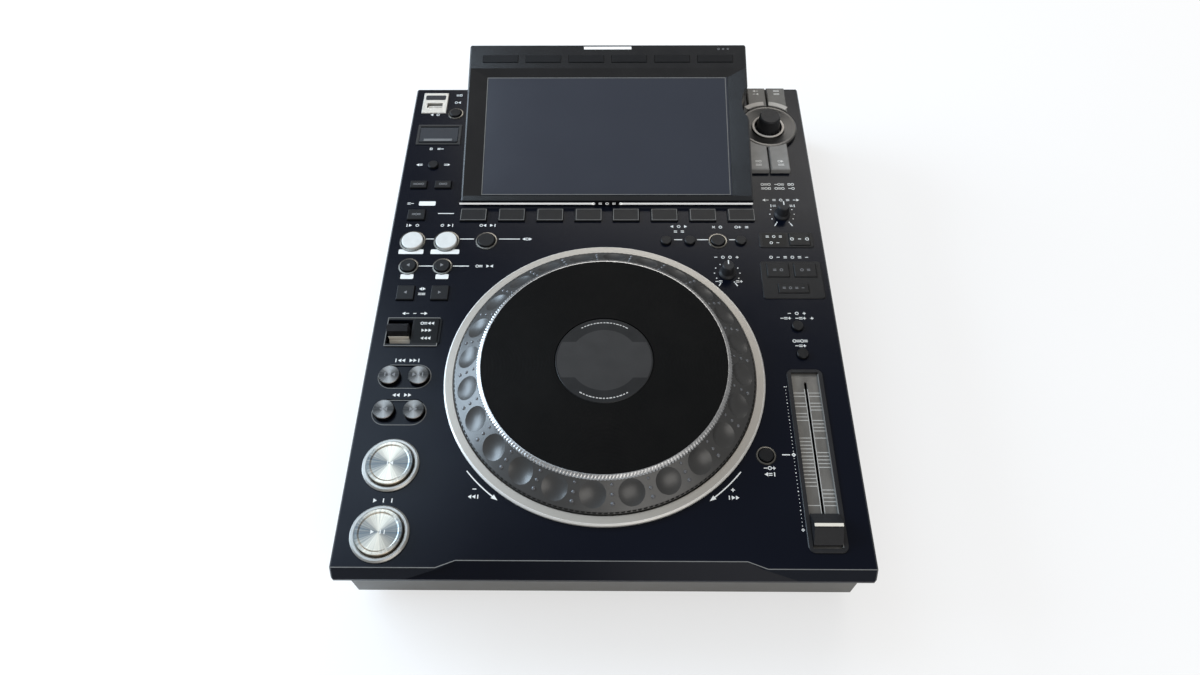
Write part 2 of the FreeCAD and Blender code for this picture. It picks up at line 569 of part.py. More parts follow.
def screen_housing():
    body = body_named("screen_housing", "Dims.screen_x")
    outline = sketch_on(body, "YZ_Plane")
    deck_back = "Dims.case_depth / 2 - Dims.rear_run"
    lap_drop = "Dims.screen_back_lap * (Dims.deck - Dims.seam) / Dims.rear_run"
    top = "Dims.full_height - Dims.deck"
    polygon(outline, [
        ("Dims.screen_front", "0"), (deck_back, "0"),
        (f"{deck_back} + Dims.screen_back_lap", f"-({lap_drop})"),
        ("Dims.screen_back_y", f"{top} - Dims.screen_back_drop"), ("Dims.screen_top_y", top),
        ("Dims.screen_front", "Dims.screen_step"),
    ])
    block = pad(body, outline, "Dims.screen_width", both_ways=True)
    bevel(body, block, lambda edge: on_side(edge) and edge.BoundBox.ZMax > 1, "Dims.side_bevel")

    outer = face_rectangle(tilted_sketch(body), "(Dims.screen_width / 2 - Dims.bezel_side)",
                           "Dims.bezel_low", "Dims.bezel_high")
    inner = face_rectangle(tilted_sketch(body, "Dims.bezel_sink"), "Dims.glass_width / 2",
                           "Dims.glass_low", "Dims.glass_high")
    sunk = body.newObject("PartDesign::SubtractiveLoft", "screen_bezel_slope")
    sunk.Profile = outer
    sunk.Sections = [inner]
    sunk.Ruled = True
    doc.recompute()
    seat = face_rectangle(tilted_sketch(body, "Dims.bezel_sink"), "Dims.glass_width / 2",
                          "Dims.glass_low", "Dims.glass_high")
    pocket(body, seat, "Dims.glass_thick - 0.6")
    wells = tilted_sketch(body)
    for index in range(6):
        face_rectangle(wells, "(Dims.strip_key_width / 2 + Dims.key_gap)",
                       "Dims.strip_key_low - Dims.key_gap",
                       "Dims.strip_key_low + Dims.strip_key_depth + Dims.key_gap",
                       f"Dims.strip_key_pitch * ({index} - 2.5)")
    pocket(body, wells, "Dims.strip_well")

    # Its right flank is scooped out to clear the selector's dish
    scoop = body.newObject("PartDesign::SubtractiveCone", "selector_scoop")
    scoop.setExpression("Radius1", "Dims.dish_radius + 0.4")
    scoop.setExpression("Radius2", "Dims.dish_radius + 1.6")
    scoop.setExpression("Height", "Dims.full_height - Dims.deck")
    scoop.setExpression("Placement.Base.x", "Dims.selector_x - Dims.screen_x")
    scoop.setExpression("Placement.Base.y", "Dims.selector_y")
    doc.recompute()


def screen_glass():
    body = body_named("screen_glass", "Dims.screen_x")
    plate = face_rectangle(tilted_sketch(body, "Dims.bezel_sink + Dims.glass_thick - 0.6"),
                           "Dims.glass_width / 2", "Dims.glass_low", "Dims.glass_high")
    pad(body, plate, "Dims.glass_thick")


def strip_keys():
    pieces = []
    for index in range(6):
        body = body_named("strip_key", f"Dims.screen_x + Dims.strip_key_pitch * ({index} - 2.5)")
        sketch = tilted_sketch(body, "Dims.strip_key_thick - Dims.strip_key_proud")
        face_rectangle(sketch, "Dims.strip_key_width / 2", "Dims.strip_key_low",
                       "Dims.strip_key_low + Dims.strip_key_depth")
        pad(body, sketch, "Dims.strip_key_thick")
        pieces.append(body)
    joined("strip_keys", pieces)


# The jog wheel: a fixed ring with its tub, the dial that turns in it, the middle display
def jog_ring():
    body = body_named("jog_ring", "0", "Dims.jog_y")
    tub, inside = "-Dims.jog_tub_depth", "Dims.jog_well_radius - Dims.jog_tub_wall / 2"
    turned(body, [
        ("Dims.post_radius", tub), ("Dims.jog_well_radius", tub), ("Dims.jog_well_radius", "0"),
        ("Dims.jog_ring_radius", "0"), ("Dims.jog_ring_radius", "Dims.jog_ring_rise - 1.2"),
        ("Dims.jog_ring_radius - 1", "Dims.jog_ring_rise"),
        ("Dims.jog_ring_inner + 0.6", "Dims.jog_ring_rise"),
        ("Dims.jog_ring_inner", "Dims.jog_ring_rise - 0.6"),
        (inside, f"{tub} + Dims.jog_tub_wall"),
        ("Dims.hub_radius", f"{tub} + Dims.jog_tub_wall"),
        ("Dims.hub_radius", "-Dims.jog_tub_depth / 2"),
        ("Dims.post_radius", "-Dims.jog_tub_depth / 2"),
    ])


def jog_dial():
    body = body_named("jog_dial", "0", "Dims.jog_y")
    under = "(Dims.platter_rise - 5)"
    turned(body, [
        ("Dims.post_radius + Dims.fit", "-Dims.jog_tub_depth / 2"),
        ("Dims.hub_radius", "-Dims.jog_tub_depth / 2"), ("Dims.hub_radius", under),
        ("Dims.platter_radius - 3", under), ("Dims.jog_radius - 4", "0.6"),
        ("Dims.jog_radius - 4", "-2"), ("Dims.jog_radius", "-2"),
        ("Dims.jog_radius", "Dims.jog_edge_rise"),
        ("Dims.jog_slope_out", "Dims.jog_slope_rise"),
        ("Dims.jog_slope_in", "Dims.jog_rim_rise"),
        ("Dims.platter_radius + 0.7", "Dims.platter_rise - 0.4"),
        ("Dims.platter_radius", "Dims.platter_rise"),
        ("Dims.label_radius + Dims.key_gap", "Dims.platter_rise"),
        ("Dims.label_radius + Dims.key_gap", "Dims.platter_rise - Dims.label_drop"),
        ("Dims.post_radius + Dims.fit", "Dims.platter_rise - Dims.label_drop"),
    ])
    run = "(Dims.jog_slope_out - Dims.jog_slope_in)"
    climb = "(Dims.jog_rim_rise - Dims.jog_slope_rise)"
    slope = f"sqrt({run} ^ 2 + {climb} ^ 2)"
    bulge = "((Dims.dimple_radius ^ 2 + Dims.dimple_depth ^ 2) / (2 * Dims.dimple_depth))"
    stand = f"({bulge} - Dims.dimple_depth)"
    dimple = body.newObject("PartDesign::SubtractiveSphere", "dimple")
    dimple.setExpression("Radius", bulge)
    out = f"((Dims.jog_slope_out + Dims.jog_slope_in) / 2 + {stand} * {climb} / {slope})"
    dimple.setExpression("Placement.Base.x", f"{out} * cos(Dims.dimple_start)")
    dimple.setExpression("Placement.Base.y", f"{out} * sin(Dims.dimple_start)")
    dimple.setExpression("Placement.Base.z",
                         f"(Dims.jog_rim_rise + Dims.jog_slope_rise) / 2 + {stand} * {run} / {slope}")
    doc.recompute()
    around(body, dimple, "Dims.dimple_count")


def jog_display():
    body = body_named("jog_display", "0", "Dims.jog_y")
    low = "Dims.platter_rise - Dims.label_drop + 0.3"
    turned(body, [
        ("0", "-Dims.jog_tub_depth"), ("Dims.post_radius", "-Dims.jog_tub_depth"),
        ("Dims.post_radius", low), ("Dims.label_radius", low),
        ("Dims.label_radius", "Dims.platter_rise - 0.6"),
        ("Dims.label_radius - 0.6", "Dims.platter_rise"), ("0", "Dims.platter_rise"),
    ])


# The selector: a fixed dish, a shaft that is pressed, a fluted knob that turns on it
FLUTES = {
    "flute_count": 18, "flute_radius": 1.1,
}
size(FLUTES)


def selector():
    dish = body_named("selector_dish", "Dims.selector_x", "Dims.selector_y")
    turned(dish, [
        ("Dims.dish_bore", "0"), ("Dims.dish_radius", "0"), ("Dims.dish_radius", "3"),
        ("Dims.dish_radius - 1", "4"), ("Dims.dish_radius - 2.4", "4"),
        ("Dims.dish_bore + 2.4", "2.2"), ("Dims.dish_bore + 2", "3.6"),
        ("Dims.dish_bore + 0.4", "3.6"), ("Dims.dish_bore", "3.2"),
    ])
    seat = "Dims.selector_rise - 3"
    shaft = body_named("selector_shaft", "Dims.selector_x", "Dims.selector_y")
    foot, shelf = "-Dims.wall - Dims.lip_thick", "-Dims.wall"
    turned(shaft, [
        ("0", foot), ("Dims.shaft_radius + 2", foot), ("Dims.shaft_radius + 2", shelf),
        ("Dims.shaft_radius", shelf), ("Dims.shaft_radius", seat), ("0", seat),
    ])
    fluted_knob("selector_knob", "Dims.selector_x", "Dims.selector_y", "1.6", seat,
                "Dims.selector_radius", "Dims.selector_top_radius", "Dims.selector_rise")


def fluted_knob(label, x, y, base, seat, radius, top_radius, rise):
    # A tapered knob with a blind bore and flutes about its side
    body = body_named(label, x, y)
    bore = "Dims.shaft_radius + Dims.fit"
    turned(body, [
        (bore, base), (radius, base), (radius, f"{base} + 0.8"),
        (top_radius, f"{rise} - 0.9"), (f"{top_radius} - 0.9", rise), ("0", rise),
        ("0", seat), (bore, seat),
    ])
    flute = sketch_on(body, "XY_Plane", f"{rise} + 1")
    circle(flute, f"{radius} + Dims.flute_radius * 0.45", "0", "Dims.flute_radius")
    cut = pocket(body, flute, f"{rise} - ({base}) + 2")
    around(body, cut, "Dims.flute_count")
    return body


def small_knob(label):
    # A tapered knob on the deck, its own shaft running through the wall
    body = body_named(label, f"Dims.{label}_x", f"Dims.{label}_y")
    radius, top, rise = "Dims.knob_radius", "Dims.knob_top_radius", "Dims.knob_rise"
    shaft, foot = "Dims.shaft_radius", "-Dims.wall - Dims.lip_thick"
    turned(body, [
        ("0", foot), (shaft, foot), (shaft, "0"), (radius, "0"), (radius, "1.2"),
        (top, "2.4"), (f"{top} - 0.4", f"{rise} - 0.6"), (f"{top} - 1", rise), ("0", rise),
    ])
    pointer = sketch_on(body, "XY_Plane", f"{rise} + 1")
    rectangle(pointer, "0", f"{top} / 2 + 0.6", "0.9", f"{top} - 0.4")
    pocket(body, pointer, "1.5")
    return body


# The tempo fader: a framed plate with a slot, and the cap that slides along it
def fader():
    frame = body_named("fader_frame", "Dims.fader_x", "Dims.fader_y")
    rim = rectangle(sketch_on(frame, "XY_Plane"), "0", "0", "Dims.fader_width",
                    "Dims.fader_length")
    block = pad(frame, rim, "Dims.fader_frame_rise")
    rounded = rounding(frame, block, upright, "Dims.fader_round")
    bevel(frame, rounded, flat_at(value_of("Dims.fader_frame_rise")), "Dims.key_bevel")
    tray = sketch_on(frame, "XY_Plane", "-Dims.wall")
    rectangle(tray, "0", "0", "Dims.fader_width - 4", "Dims.fader_length - 4")
    pad(frame, tray, "Dims.wall")
    channel = sketch_on(frame, "XY_Plane", "Dims.fader_frame_rise")
    rectangle(channel, "0", "0", "Dims.fader_plate_width", "Dims.fader_length - 5.2")
    pocket(frame, channel, "Dims.fader_frame_rise + Dims.wall - 2")
    slot = sketch_on(frame, "XY_Plane", "1")
    rectangle(slot, "0", "Dims.cap_rest_y + Dims.fader_travel / 2 - Dims.fader_y",
              "Dims.fader_slot", "Dims.fader_travel + 8")
    pocket(frame, slot, "Dims.wall + 3")

    cap = body_named("fader_cap", "Dims.fader_x", "Dims.cap_rest_y")
    floor = "2 - Dims.wall"
    side = sketch_on(cap, "YZ_Plane")
    half, rise = "Dims.cap_length / 2", "Dims.cap_rise"
    polygon(side, [
        (f"-{half}", floor), (half, floor), (half, "1.6"), ("5.5", f"{rise} * 0.62"),
        ("1.8", rise), ("-1.8", rise), ("-5.5", f"{rise} * 0.62"), (f"-{half}", "1.6"),
    ])
    pad(cap, side, "Dims.cap_width", both_ways=True)
    stem = sketch_on(cap, "XY_Plane", "-Dims.wall - 5")
    rectangle(stem, "0", "0", "Dims.fader_slot - 2 * Dims.fit", "5")
    pad(cap, stem, "7")


# The direction lever: its skirt is part of a cylinder about the pivot and closes the well
def direction_lever():
    lever = body_named("direction_lever", "Dims.lever_x", "Dims.lever_y",
                       "Dims.deck - Dims.lever_pivot_drop")
    skirt = circle(sketch_on(lever, "YZ_Plane"), "0", "0",
                   "Dims.lever_pivot_drop - Dims.wall - 0.4")
    pad(lever, skirt, "Dims.lever_width", both_ways=True)
    blade = sketch_on(lever, "YZ_Plane")
    top = "Dims.lever_pivot_drop + Dims.lever_rise"
    half = "Dims.lever_depth / 2"
    polygon(blade, [(f"-{half}", "0"), (half, "0"), (half, f"{top} - 2.4"),
                    ("0.6", top), (f"-{half}", f"{top} - 1.2")])
    pad(lever, blade, "Dims.lever_width", both_ways=True)


# Bright rings about the two large buttons, and thin frames about keys and lever
def button_rings():
    pieces = []
    for label in ("cue_button", "play_button"):
        ring = body_named("big_ring", f"Dims.{label}_x", f"Dims.{label}_y")
        inner = "Dims.big_radius + Dims.key_gap"
        outer = "Dims.big_ring_radius"
        turned(ring, [(inner, "0"), (outer, "0"), (outer, "1"), (f"{outer} - 1", "2"),
                      (f"{inner} + 0.8", "2"), (inner, "1.4")])
        pieces.append(ring)
    joined("button_rings", pieces)


def key_frames():
    windows = {"mode_frame": ["mode_key"],
               "sync_frame": ["sync_key", "master_key", "tone_key"],
               "lever_frame": ["lever_well"]}
    pieces = []
    for name, keys in windows.items():
        plate = body_named(name, f"Dims.{name}_x", f"Dims.{name}_y")
        outline = rectangle(sketch_on(plate, "XY_Plane"), "0", "0", f"Dims.{name}_width",
                            f"Dims.{name}_depth")
        block = pad(plate, outline, "Dims.frame_rise")
        rounded = rounding(plate, block, upright, "Dims.frame_round")
        bevel(plate, rounded, flat_at(value_of("Dims.frame_rise")), "Dims.key_bevel")
        cut = sketch_on(plate, "XY_Plane", "Dims.frame_rise + 1")
        for key in keys:
            width, depth = FLAT_KEYS.get(key, ("Dims.lever_well_width", "Dims.lever_well_depth"))
            place = "lever" if key == "lever_well" else key
            rectangle(cut, f"Dims.{place}_x - Dims.{name}_x", f"Dims.{place}_y - Dims.{name}_y",
                      f"{width} + 2 * Dims.key_gap", f"{depth} + 2 * Dims.key_gap")
        pocket(plate, cut, "Dims.frame_rise + 2")
        pieces.append(plate)
    joined("key_frames", pieces)


# The upright socket in its bright plate, with the contact tongue inside
def usb_socket():
    body = body_named("usb_socket", "Dims.usb_x", "Dims.usb_y")
    plate = rectangle(sketch_on(body, "XY_Plane"), "0", "0", "Dims.usb_plate_width",
                      "Dims.usb_plate_depth")
    block = pad(body, plate, "1")
    bevel(body, block, flat_at(1), "Dims.key_bevel")
    shell = sketch_on(body, "XY_Plane", "-Dims.usb_reach")
    rectangle(shell, "0", "0", "Dims.usb_plate_width - 2", "Dims.usb_plate_depth - 2")
    pad(body, shell, "Dims.usb_reach")
    port = sketch_on(body, "XY_Plane", "2")
    rectangle(port, "0", "Dims.usb_port_y", "Dims.usb_port_width", "Dims.usb_port_depth")
    pocket(body, port, "Dims.usb_reach")
    tongue = sketch_on(body, "XY_Plane", "-Dims.usb_reach + 1")
    rectangle(tongue, "0", "Dims.usb_port_y + 0.7", "Dims.usb_port_width - 1.6", "1.9")
    pad(body, tongue, "Dims.usb_reach - 2")


# The memory-card bay: a shallow well with the card slot in its floor, under a hinged door
CARD = {
    "card_slot_width": 24.6, "card_slot_depth": 2.6, "door_thick": 2, "door_gap": 0.4,
    "hinge_radius": 1,
    "door_ear": 0.8,
}
size(CARD)


def card_bay():
    bay = body_named("card_bay", "Dims.card_x", "Dims.card_y")
    rim = rectangle(sketch_on(bay, "XY_Plane"), "0", "0", "Dims.card_frame_width",
                    "Dims.card_frame_depth")
    pad(bay, rim, "0.6")
    box = sketch_on(bay, "XY_Plane", "-Dims.card_reach")
    rectangle(box, "0", "0", "Dims.card_frame_width - 2", "Dims.card_frame_depth - 2")
    pad(bay, box, "Dims.card_reach")
    ledge = sketch_on(bay, "XY_Plane", "1")
    rectangle(ledge, "0", "0", "Dims.card_frame_width - 4", "Dims.card_frame_depth - 4")
    pocket(bay, ledge, "Dims.door_thick + 1.8")
    well = sketch_on(bay, "XY_Plane", "1")
    rectangle(well, "0", "-0.6", "Dims.card_well_width", "Dims.card_well_depth")
    pocket(bay, well, "Dims.card_reach - 1")
    slot = sketch_on(bay, "XY_Plane", "0")
    rectangle(slot, "0", "-0.6", "Dims.card_slot_width", "Dims.card_slot_depth")
    pocket(bay, slot, "Dims.card_reach + 1")
    bores = sketch_on(bay, "YZ_Plane")
    circle(bores, HINGE_Y, HINGE_Z, "Dims.hinge_radius + Dims.fit")
    pocket(bay, bores, "Dims.card_frame_width - 4 + 2 * Dims.door_ear", both_ways=True)

    door = body_named("card_door", "Dims.card_x", "Dims.card_y")
    half = "(Dims.card_frame_depth / 2 - 2 - Dims.door_gap)"
    top = "0.6"
    side = sketch_on(door, "YZ_Plane")
    polygon(side, [
        (f"-{half}", f"{top} - Dims.door_thick"), (HINGE_Y, f"{top} - Dims.door_thick"),
        (f"{HINGE_Y} + 1.2", f"{HINGE_Z}"), (HINGE_Y, top), (f"-{half} + 2.4", top),
        (f"-{half}", f"{top} + 0.9"),
    ])
    pad(door, side, "Dims.card_frame_width - 4 - 2 * Dims.door_gap", both_ways=True)
    pins = circle(sketch_on(door, "YZ_Plane"), HINGE_Y, HINGE_Z, "Dims.hinge_radius")
    pad(door, pins, "Dims.card_frame_width - 4 + 2 * Dims.door_ear - 0.4", both_ways=True)


HINGE_Y = "Dims.card_frame_depth / 2 - 3.8"
HINGE_Z = "-0.4"


# Rear sockets, all behind the overhang of the upper case
BACK = "Dims.case_depth / 2 - Dims.rear_setback"


def rear_pad(body, outline, start, length):
    # Start and length are measured outwards from the case's rear face
    outline.setExpression("AttachmentOffset.Base.z", f"-({start})")
    feature = pad(body, outline, length)
    feature.Reversed = True
    doc.recompute()
    return feature


def rear_cut(body, outline, start, length):
    # The cut runs inwards from a start measured outwards from the rear face
    outline.setExpression("AttachmentOffset.Base.z", f"-({start})")
    feature = pocket(body, outline, length, upward=True)
    return feature


CARD2 = {
    "inlet_depth": 17, "inlet_flange": 2, "inlet_cavity_width": 24, "inlet_cavity_height": 16.4,
    "pin_spread": 7, "pin_width": 2, "pin_height": 4, "pin_length": 12,
    "switch_depth": 12, "switch_rim": 1.5, "rocker_reach": 7,
}
size(CARD2)


def mains_inlet():
    # One moulding holds the mains inlet and the frame of the power switch
    body = body_named("mains_inlet", "Dims.inlet_x", BACK, "Dims.inlet_z")
    aside = "(Dims.switch_x - Dims.inlet_x)"
    flange = rectangle(sketch_on(body, "XZ_Plane"), f"{aside} / 2", "0",
                       f"{aside} + (Dims.inlet_width + Dims.switch_width) / 2 + 4",
                       "Dims.inlet_height + 4")
    rear_pad(body, flange, "0", "Dims.inlet_flange")
    shell = rectangle(sketch_on(body, "XZ_Plane"), "0", "0", "Dims.inlet_width",
                      "Dims.inlet_height")
    rear_pad(body, shell, "-Dims.inlet_depth - 1", "Dims.inlet_depth + 1")
    box = rectangle(sketch_on(body, "XZ_Plane"), aside, "0", "Dims.switch_width",
                    "Dims.switch_height")
    rear_pad(body, box, "-Dims.switch_depth", "Dims.switch_depth")
    half, tall = "Dims.inlet_cavity_width / 2", "Dims.inlet_cavity_height / 2"
    mouth = sketch_on(body, "XZ_Plane")
    polygon(mouth, [
        (f"-({half})", f"-({tall})"), (half, f"-({tall})"), (half, f"{tall} - 4.4"),
        (f"{half} - 4.4", tall), (f"-({half}) + 4.4", tall), (f"-({half})", f"{tall} - 4.4"),
    ])
    rear_cut(body, mouth, "Dims.inlet_flange + 1", "Dims.inlet_depth + 3")
    opening = rectangle(sketch_on(body, "XZ_Plane"), aside, "0",
                        "Dims.switch_width - 2 * Dims.switch_rim",
                        "Dims.switch_height - 2 * Dims.switch_rim")
    rear_cut(body, opening, "Dims.inlet_flange + 1", "Dims.switch_depth + 1.4")
    for x, z in (("-Dims.pin_spread", "1"), ("Dims.pin_spread", "1"), ("0", "5")):
        pin = rectangle(sketch_on(body, "XZ_Plane"), x, z, "Dims.pin_width", "Dims.pin_height")
        rear_pad(body, pin, "-Dims.inlet_depth - 0.5", "Dims.pin_length")


def power_rocker():
    # The rocker turns about its middle, its face bent into two leaves
    body = body_named("power_rocker", "Dims.switch_x", f"{BACK} - 4", "Dims.inlet_z")
    reach = "Dims.rocker_reach"
    face = sketch_on(body, "YZ_Plane")
    polygon(face, [("-5", "0"), ("-3", "-5"), ("4", f"-{reach}"), ("5", f"-{reach}"),
                   ("5.6", "0"), (reach, reach), ("4.8", reach), ("-3", "5")])
    pad(body, face, "Dims.switch_width - 2 * Dims.switch_rim - 2 * Dims.key_gap", both_ways=True)


INLET = {
    "jack_radius": 4.15, "jack_bore": 1.7, "jack_reach": 9, "jack_collar": 5.6,
    "lan_width": 11.8, "lan_height": 8.4, "lan_x": 9, "square_port_x": -10, "square_port_width": 8.6,
    "square_port_height": 7.8, "square_tongue_width": 5.6, "square_tongue_height": 3.2,
    "plate_thick": 1.6, "socket_wall": 2,
}
size(INLET)


def rear_sockets():
    # One plate carries a row of signal jacks and two data sockets
    body = body_named("rear_sockets", "Dims.socket_plate_x", BACK, "Dims.socket_z")
    plate = rectangle(sketch_on(body, "XZ_Plane"), "0", "0", "Dims.socket_plate_width",
                      "Dims.socket_plate_height")
    rear_pad(body, plate, "0", "Dims.plate_thick")
    jacks = "Dims.jack_x - Dims.socket_plate_x"
    places = [f"{jacks} - Dims.jack_pitch", jacks, f"{jacks} + Dims.jack_pitch"]
    for radius, start, length in (("Dims.jack_collar", "Dims.plate_thick", "1.4"),
                                  ("Dims.jack_radius", "Dims.plate_thick + 1.4",
                                   "Dims.jack_reach - Dims.plate_thick - 1.4")):
        rings = sketch_on(body, "XZ_Plane")
        for place in places:
            circle(rings, place, "0", radius)
        rear_pad(body, rings, start, length)
    bores = sketch_on(body, "XZ_Plane")
    for place in places:
        circle(bores, place, "0", "Dims.jack_bore")
    rear_cut(body, bores, "Dims.jack_reach + 1", "Dims.jack_reach + 0.4")

    data = "Dims.data_x - Dims.socket_plate_x"
    ports = ((f"{data} + Dims.lan_x", "Dims.lan_width", "Dims.lan_height"),
             (f"{data} + Dims.square_port_x", "Dims.square_port_width", "Dims.square_port_height"))
    for x, width, height in ports:
        shell = rectangle(sketch_on(body, "XZ_Plane"), x, "0", f"{width} + 2 * Dims.socket_wall",
                          f"{height} + 2 * Dims.socket_wall")
        rear_pad(body, shell, "-Dims.data_depth - Dims.socket_wall",
                 "Dims.data_depth + Dims.socket_wall")
    for x, width, height in ports:
        hole = rectangle(sketch_on(body, "XZ_Plane"), x, "0", width, height)
        rear_cut(body, hole, "Dims.plate_thick + 1", "Dims.data_depth + Dims.plate_thick + 1")
    tongue = rectangle(sketch_on(body, "XZ_Plane"), f"{data} + Dims.square_port_x", "0",
                       "Dims.square_tongue_width", "Dims.square_tongue_height")
    rear_pad(body, tongue, "-Dims.data_depth - 1", "Dims.data_depth - 1")


# Assembly order
upper_case()
lower_case()
feet()
screen_housing()
screen_glass()
strip_keys()
jog_ring()
jog_dial()
jog_display()
selector()
for key_label, edges in SELECTOR_KEYS.items():
    selector_key(key_label, *edges)
for knob_label in ("vinyl_knob", "jog_adjust_knob"):
    small_knob(knob_label)
fader()
direction_lever()
for control_label, control_radius in ROUND_CONTROLS.items():
    if control_radius == "Dims.big_radius":
        round_control(control_label, control_radius, "Dims.big_rise", "0.5")
    elif control_radius == "Dims.skip_radius":
        round_control(control_label, control_radius, "Dims.skip_rise")
    else:
        round_control(control_label, control_radius)
for key_label, (key_width, key_depth) in FLAT_KEYS.items():
    flat_key(key_label, key_width, key_depth)
for group, places in (("hot_cues_left", HOT_PLACES[:4]), ("hot_cues_right", HOT_PLACES[4:])):
    keys = [flat_key("hot_cue", "Dims.hot_width", "Dims.hot_depth", place, "Dims.hot_y")
            for place in places]
    joined(group, keys)
button_rings()
key_frames()
usb_socket()
card_bay()
mains_inlet()
power_rocker()
rear_sockets()
doc.recompute()

# Nothing is written unless every feature holds
for item in doc.Objects:
    if "Invalid" in item.State or "Error" in item.State:
        raise RuntimeError(f"{item.Name}: {item.State}")
for piece in kept:
    if piece.Shape.isNull() or not piece.Shape.isValid():
        raise RuntimeError(f"{piece.Label} has no valid shape")
os.makedirs("parts", exist_ok=True)
for piece in kept:
    piece.Shape.exportStep(f"parts/{piece.Label}.step")
print(len(kept), "pieces")
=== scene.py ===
import bmesh
import bpy
import math
from mathutils import Matrix, Vector


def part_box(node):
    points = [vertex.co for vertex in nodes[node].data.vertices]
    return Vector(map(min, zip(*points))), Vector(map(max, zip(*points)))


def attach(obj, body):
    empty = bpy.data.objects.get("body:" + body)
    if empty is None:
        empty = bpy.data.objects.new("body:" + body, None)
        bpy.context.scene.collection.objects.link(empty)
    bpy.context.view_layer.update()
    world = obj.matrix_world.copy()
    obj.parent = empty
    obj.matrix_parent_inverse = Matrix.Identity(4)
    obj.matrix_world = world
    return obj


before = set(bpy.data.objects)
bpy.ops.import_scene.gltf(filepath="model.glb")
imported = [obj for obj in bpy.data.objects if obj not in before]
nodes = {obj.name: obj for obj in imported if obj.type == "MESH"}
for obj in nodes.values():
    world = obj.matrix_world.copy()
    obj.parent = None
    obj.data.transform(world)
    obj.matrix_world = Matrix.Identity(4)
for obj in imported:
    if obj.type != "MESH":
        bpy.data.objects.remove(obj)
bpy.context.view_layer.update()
MM = 0.001


# Rubber feet. Four turned pads of black rubber, glued and screwed under the tray;
# the skin is matt with a fine moulded grain.
class Wire:
    """A socket of a finish; arithmetic on it adds Math nodes."""

    def __init__(self, finish, socket):
        self.finish, self.socket = finish, socket

    def maths(self, operation, *values):
        # With no values given, the operation works on this socket alone
        return self.finish.add("ShaderNodeMath", {"operation": operation},
                               dict(enumerate(values or (self,))))

    def __add__(self, other):
        return self.maths("ADD", self, other)

    def __sub__(self, other):
        return self.maths("SUBTRACT", self, other)

    def __mul__(self, other):
        return self.maths("MULTIPLY", self, other)

    def __gt__(self, other):
        return self.maths("GREATER_THAN", self, other)

    def __lt__(self, other):
        return self.maths("LESS_THAN", self, other)

    __radd__ = __add__


class Finish:
    """One procedural material on a Principled shader."""

    def __init__(self, name, **plain):
        self.material = bpy.data.materials.new(name)
        self.material.use_nodes = True
        self.tree = self.material.node_tree
        self.shader = self.tree.nodes["Principled BSDF"]
        for socket, value in plain.items():
            self.shader.inputs[socket.replace("_", " ")].default_value = value

    def add(self, kind, settings=None, inputs=None, output=0):
        node = self.tree.nodes.new(kind)
        for name, value in (settings or {}).items():
            if name == "stops":
                for index, (position, shade) in enumerate(value):
                    stops = node.color_ramp.elements
                    stop = stops[index] if index < 2 else stops.new(position)
                    stop.position, stop.color = position, shade
            else:
                setattr(node, name, value)
        for socket, value in (inputs or {}).items():
            if isinstance(value, Wire):
                self.tree.links.new(value.socket, node.inputs[socket])
            else:
                node.inputs[socket].default_value = value
        return Wire(self, node.outputs[output])

    def give(self, socket, wire):
        self.tree.links.new(wire.socket, self.shader.inputs[socket])

    def place(self):
        return self.add("ShaderNodeTexCoord", output="Object")

    def along(self, axis):
        return self.add("ShaderNodeSeparateXYZ", inputs={0: self.place()}, output=axis)

    def away_from(self, x, y):
        # The distance from a place on the deck, given in millimetres, and its two parts
        part_x, part_y = self.along("X") - x * MM, self.along("Y") - y * MM
        return (part_x * part_x + part_y * part_y).maths("SQRT"), part_x, part_y

    def noise(self, size, detail=2, stretch=(1, 1, 1)):
        where = self.add("ShaderNodeMapping", inputs={"Vector": self.place(), "Scale": stretch})
        return self.add("ShaderNodeTexNoise",
                        inputs={"Vector": where, "Scale": 1 / size, "Detail": detail})

    def streaks(self, along, scale, detail=2):
        # Noise that changes along one measure only, as tool marks do
        return self.add("ShaderNodeTexNoise", {"noise_dimensions": "1D"},
                        {"W": along, "Scale": scale, "Detail": detail})

    def blend(self, share, first, second):
        return self.add("ShaderNodeMix", {"data_type": "RGBA"},
                        {0: share, 6: first, 7: second}, 2)

    def relief(self, height, depth, strength=1.0):
        self.give("Normal", self.add("ShaderNodeBump", inputs={
            "Height": height, "Distance": depth, "Strength": strength}))


def moulded(name, dark, light, rough, grain, depth, patch=0.06, **plain):
    # Two shades in soft patches, an uneven sheen and a fine grain
    finish = Finish(name, **{"Specular_IOR_Level": 0.14, **plain})
    finish.give("Base Color", finish.blend(finish.noise(patch, 3), dark, light))
    finish.give("Roughness", rough + (finish.noise(patch / 3) - 0.5) * 0.12)
    finish.relief(finish.noise(grain), depth)
    return finish


def dress(finish, *names):
    for name in names:
        for place in nodes[name].material_slots:
            place.material = finish.material


rubber = moulded("foot_rubber", (0.012, 0.012, 0.012, 1), (0.022, 0.021, 0.02, 1), 0.8,
                 0.0008, 0.0001, Specular_IOR_Level=0.25)
dress(rubber, "feet")

# Lower case. A folded tray of thin steel with a pale grey powder coat, vents pressed
# through its sides and screws up into the upper case.
FLOOR_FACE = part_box("lower_case")[0].z
powder_coat = moulded("case_steel", (0.14, 0.136, 0.128, 1), (0.18, 0.175, 0.165, 1), 0.5,
                      0.0005, 0.00006, Metallic=0.25, Specular_IOR_Level=0.4)
dress(powder_coat, "lower_case")


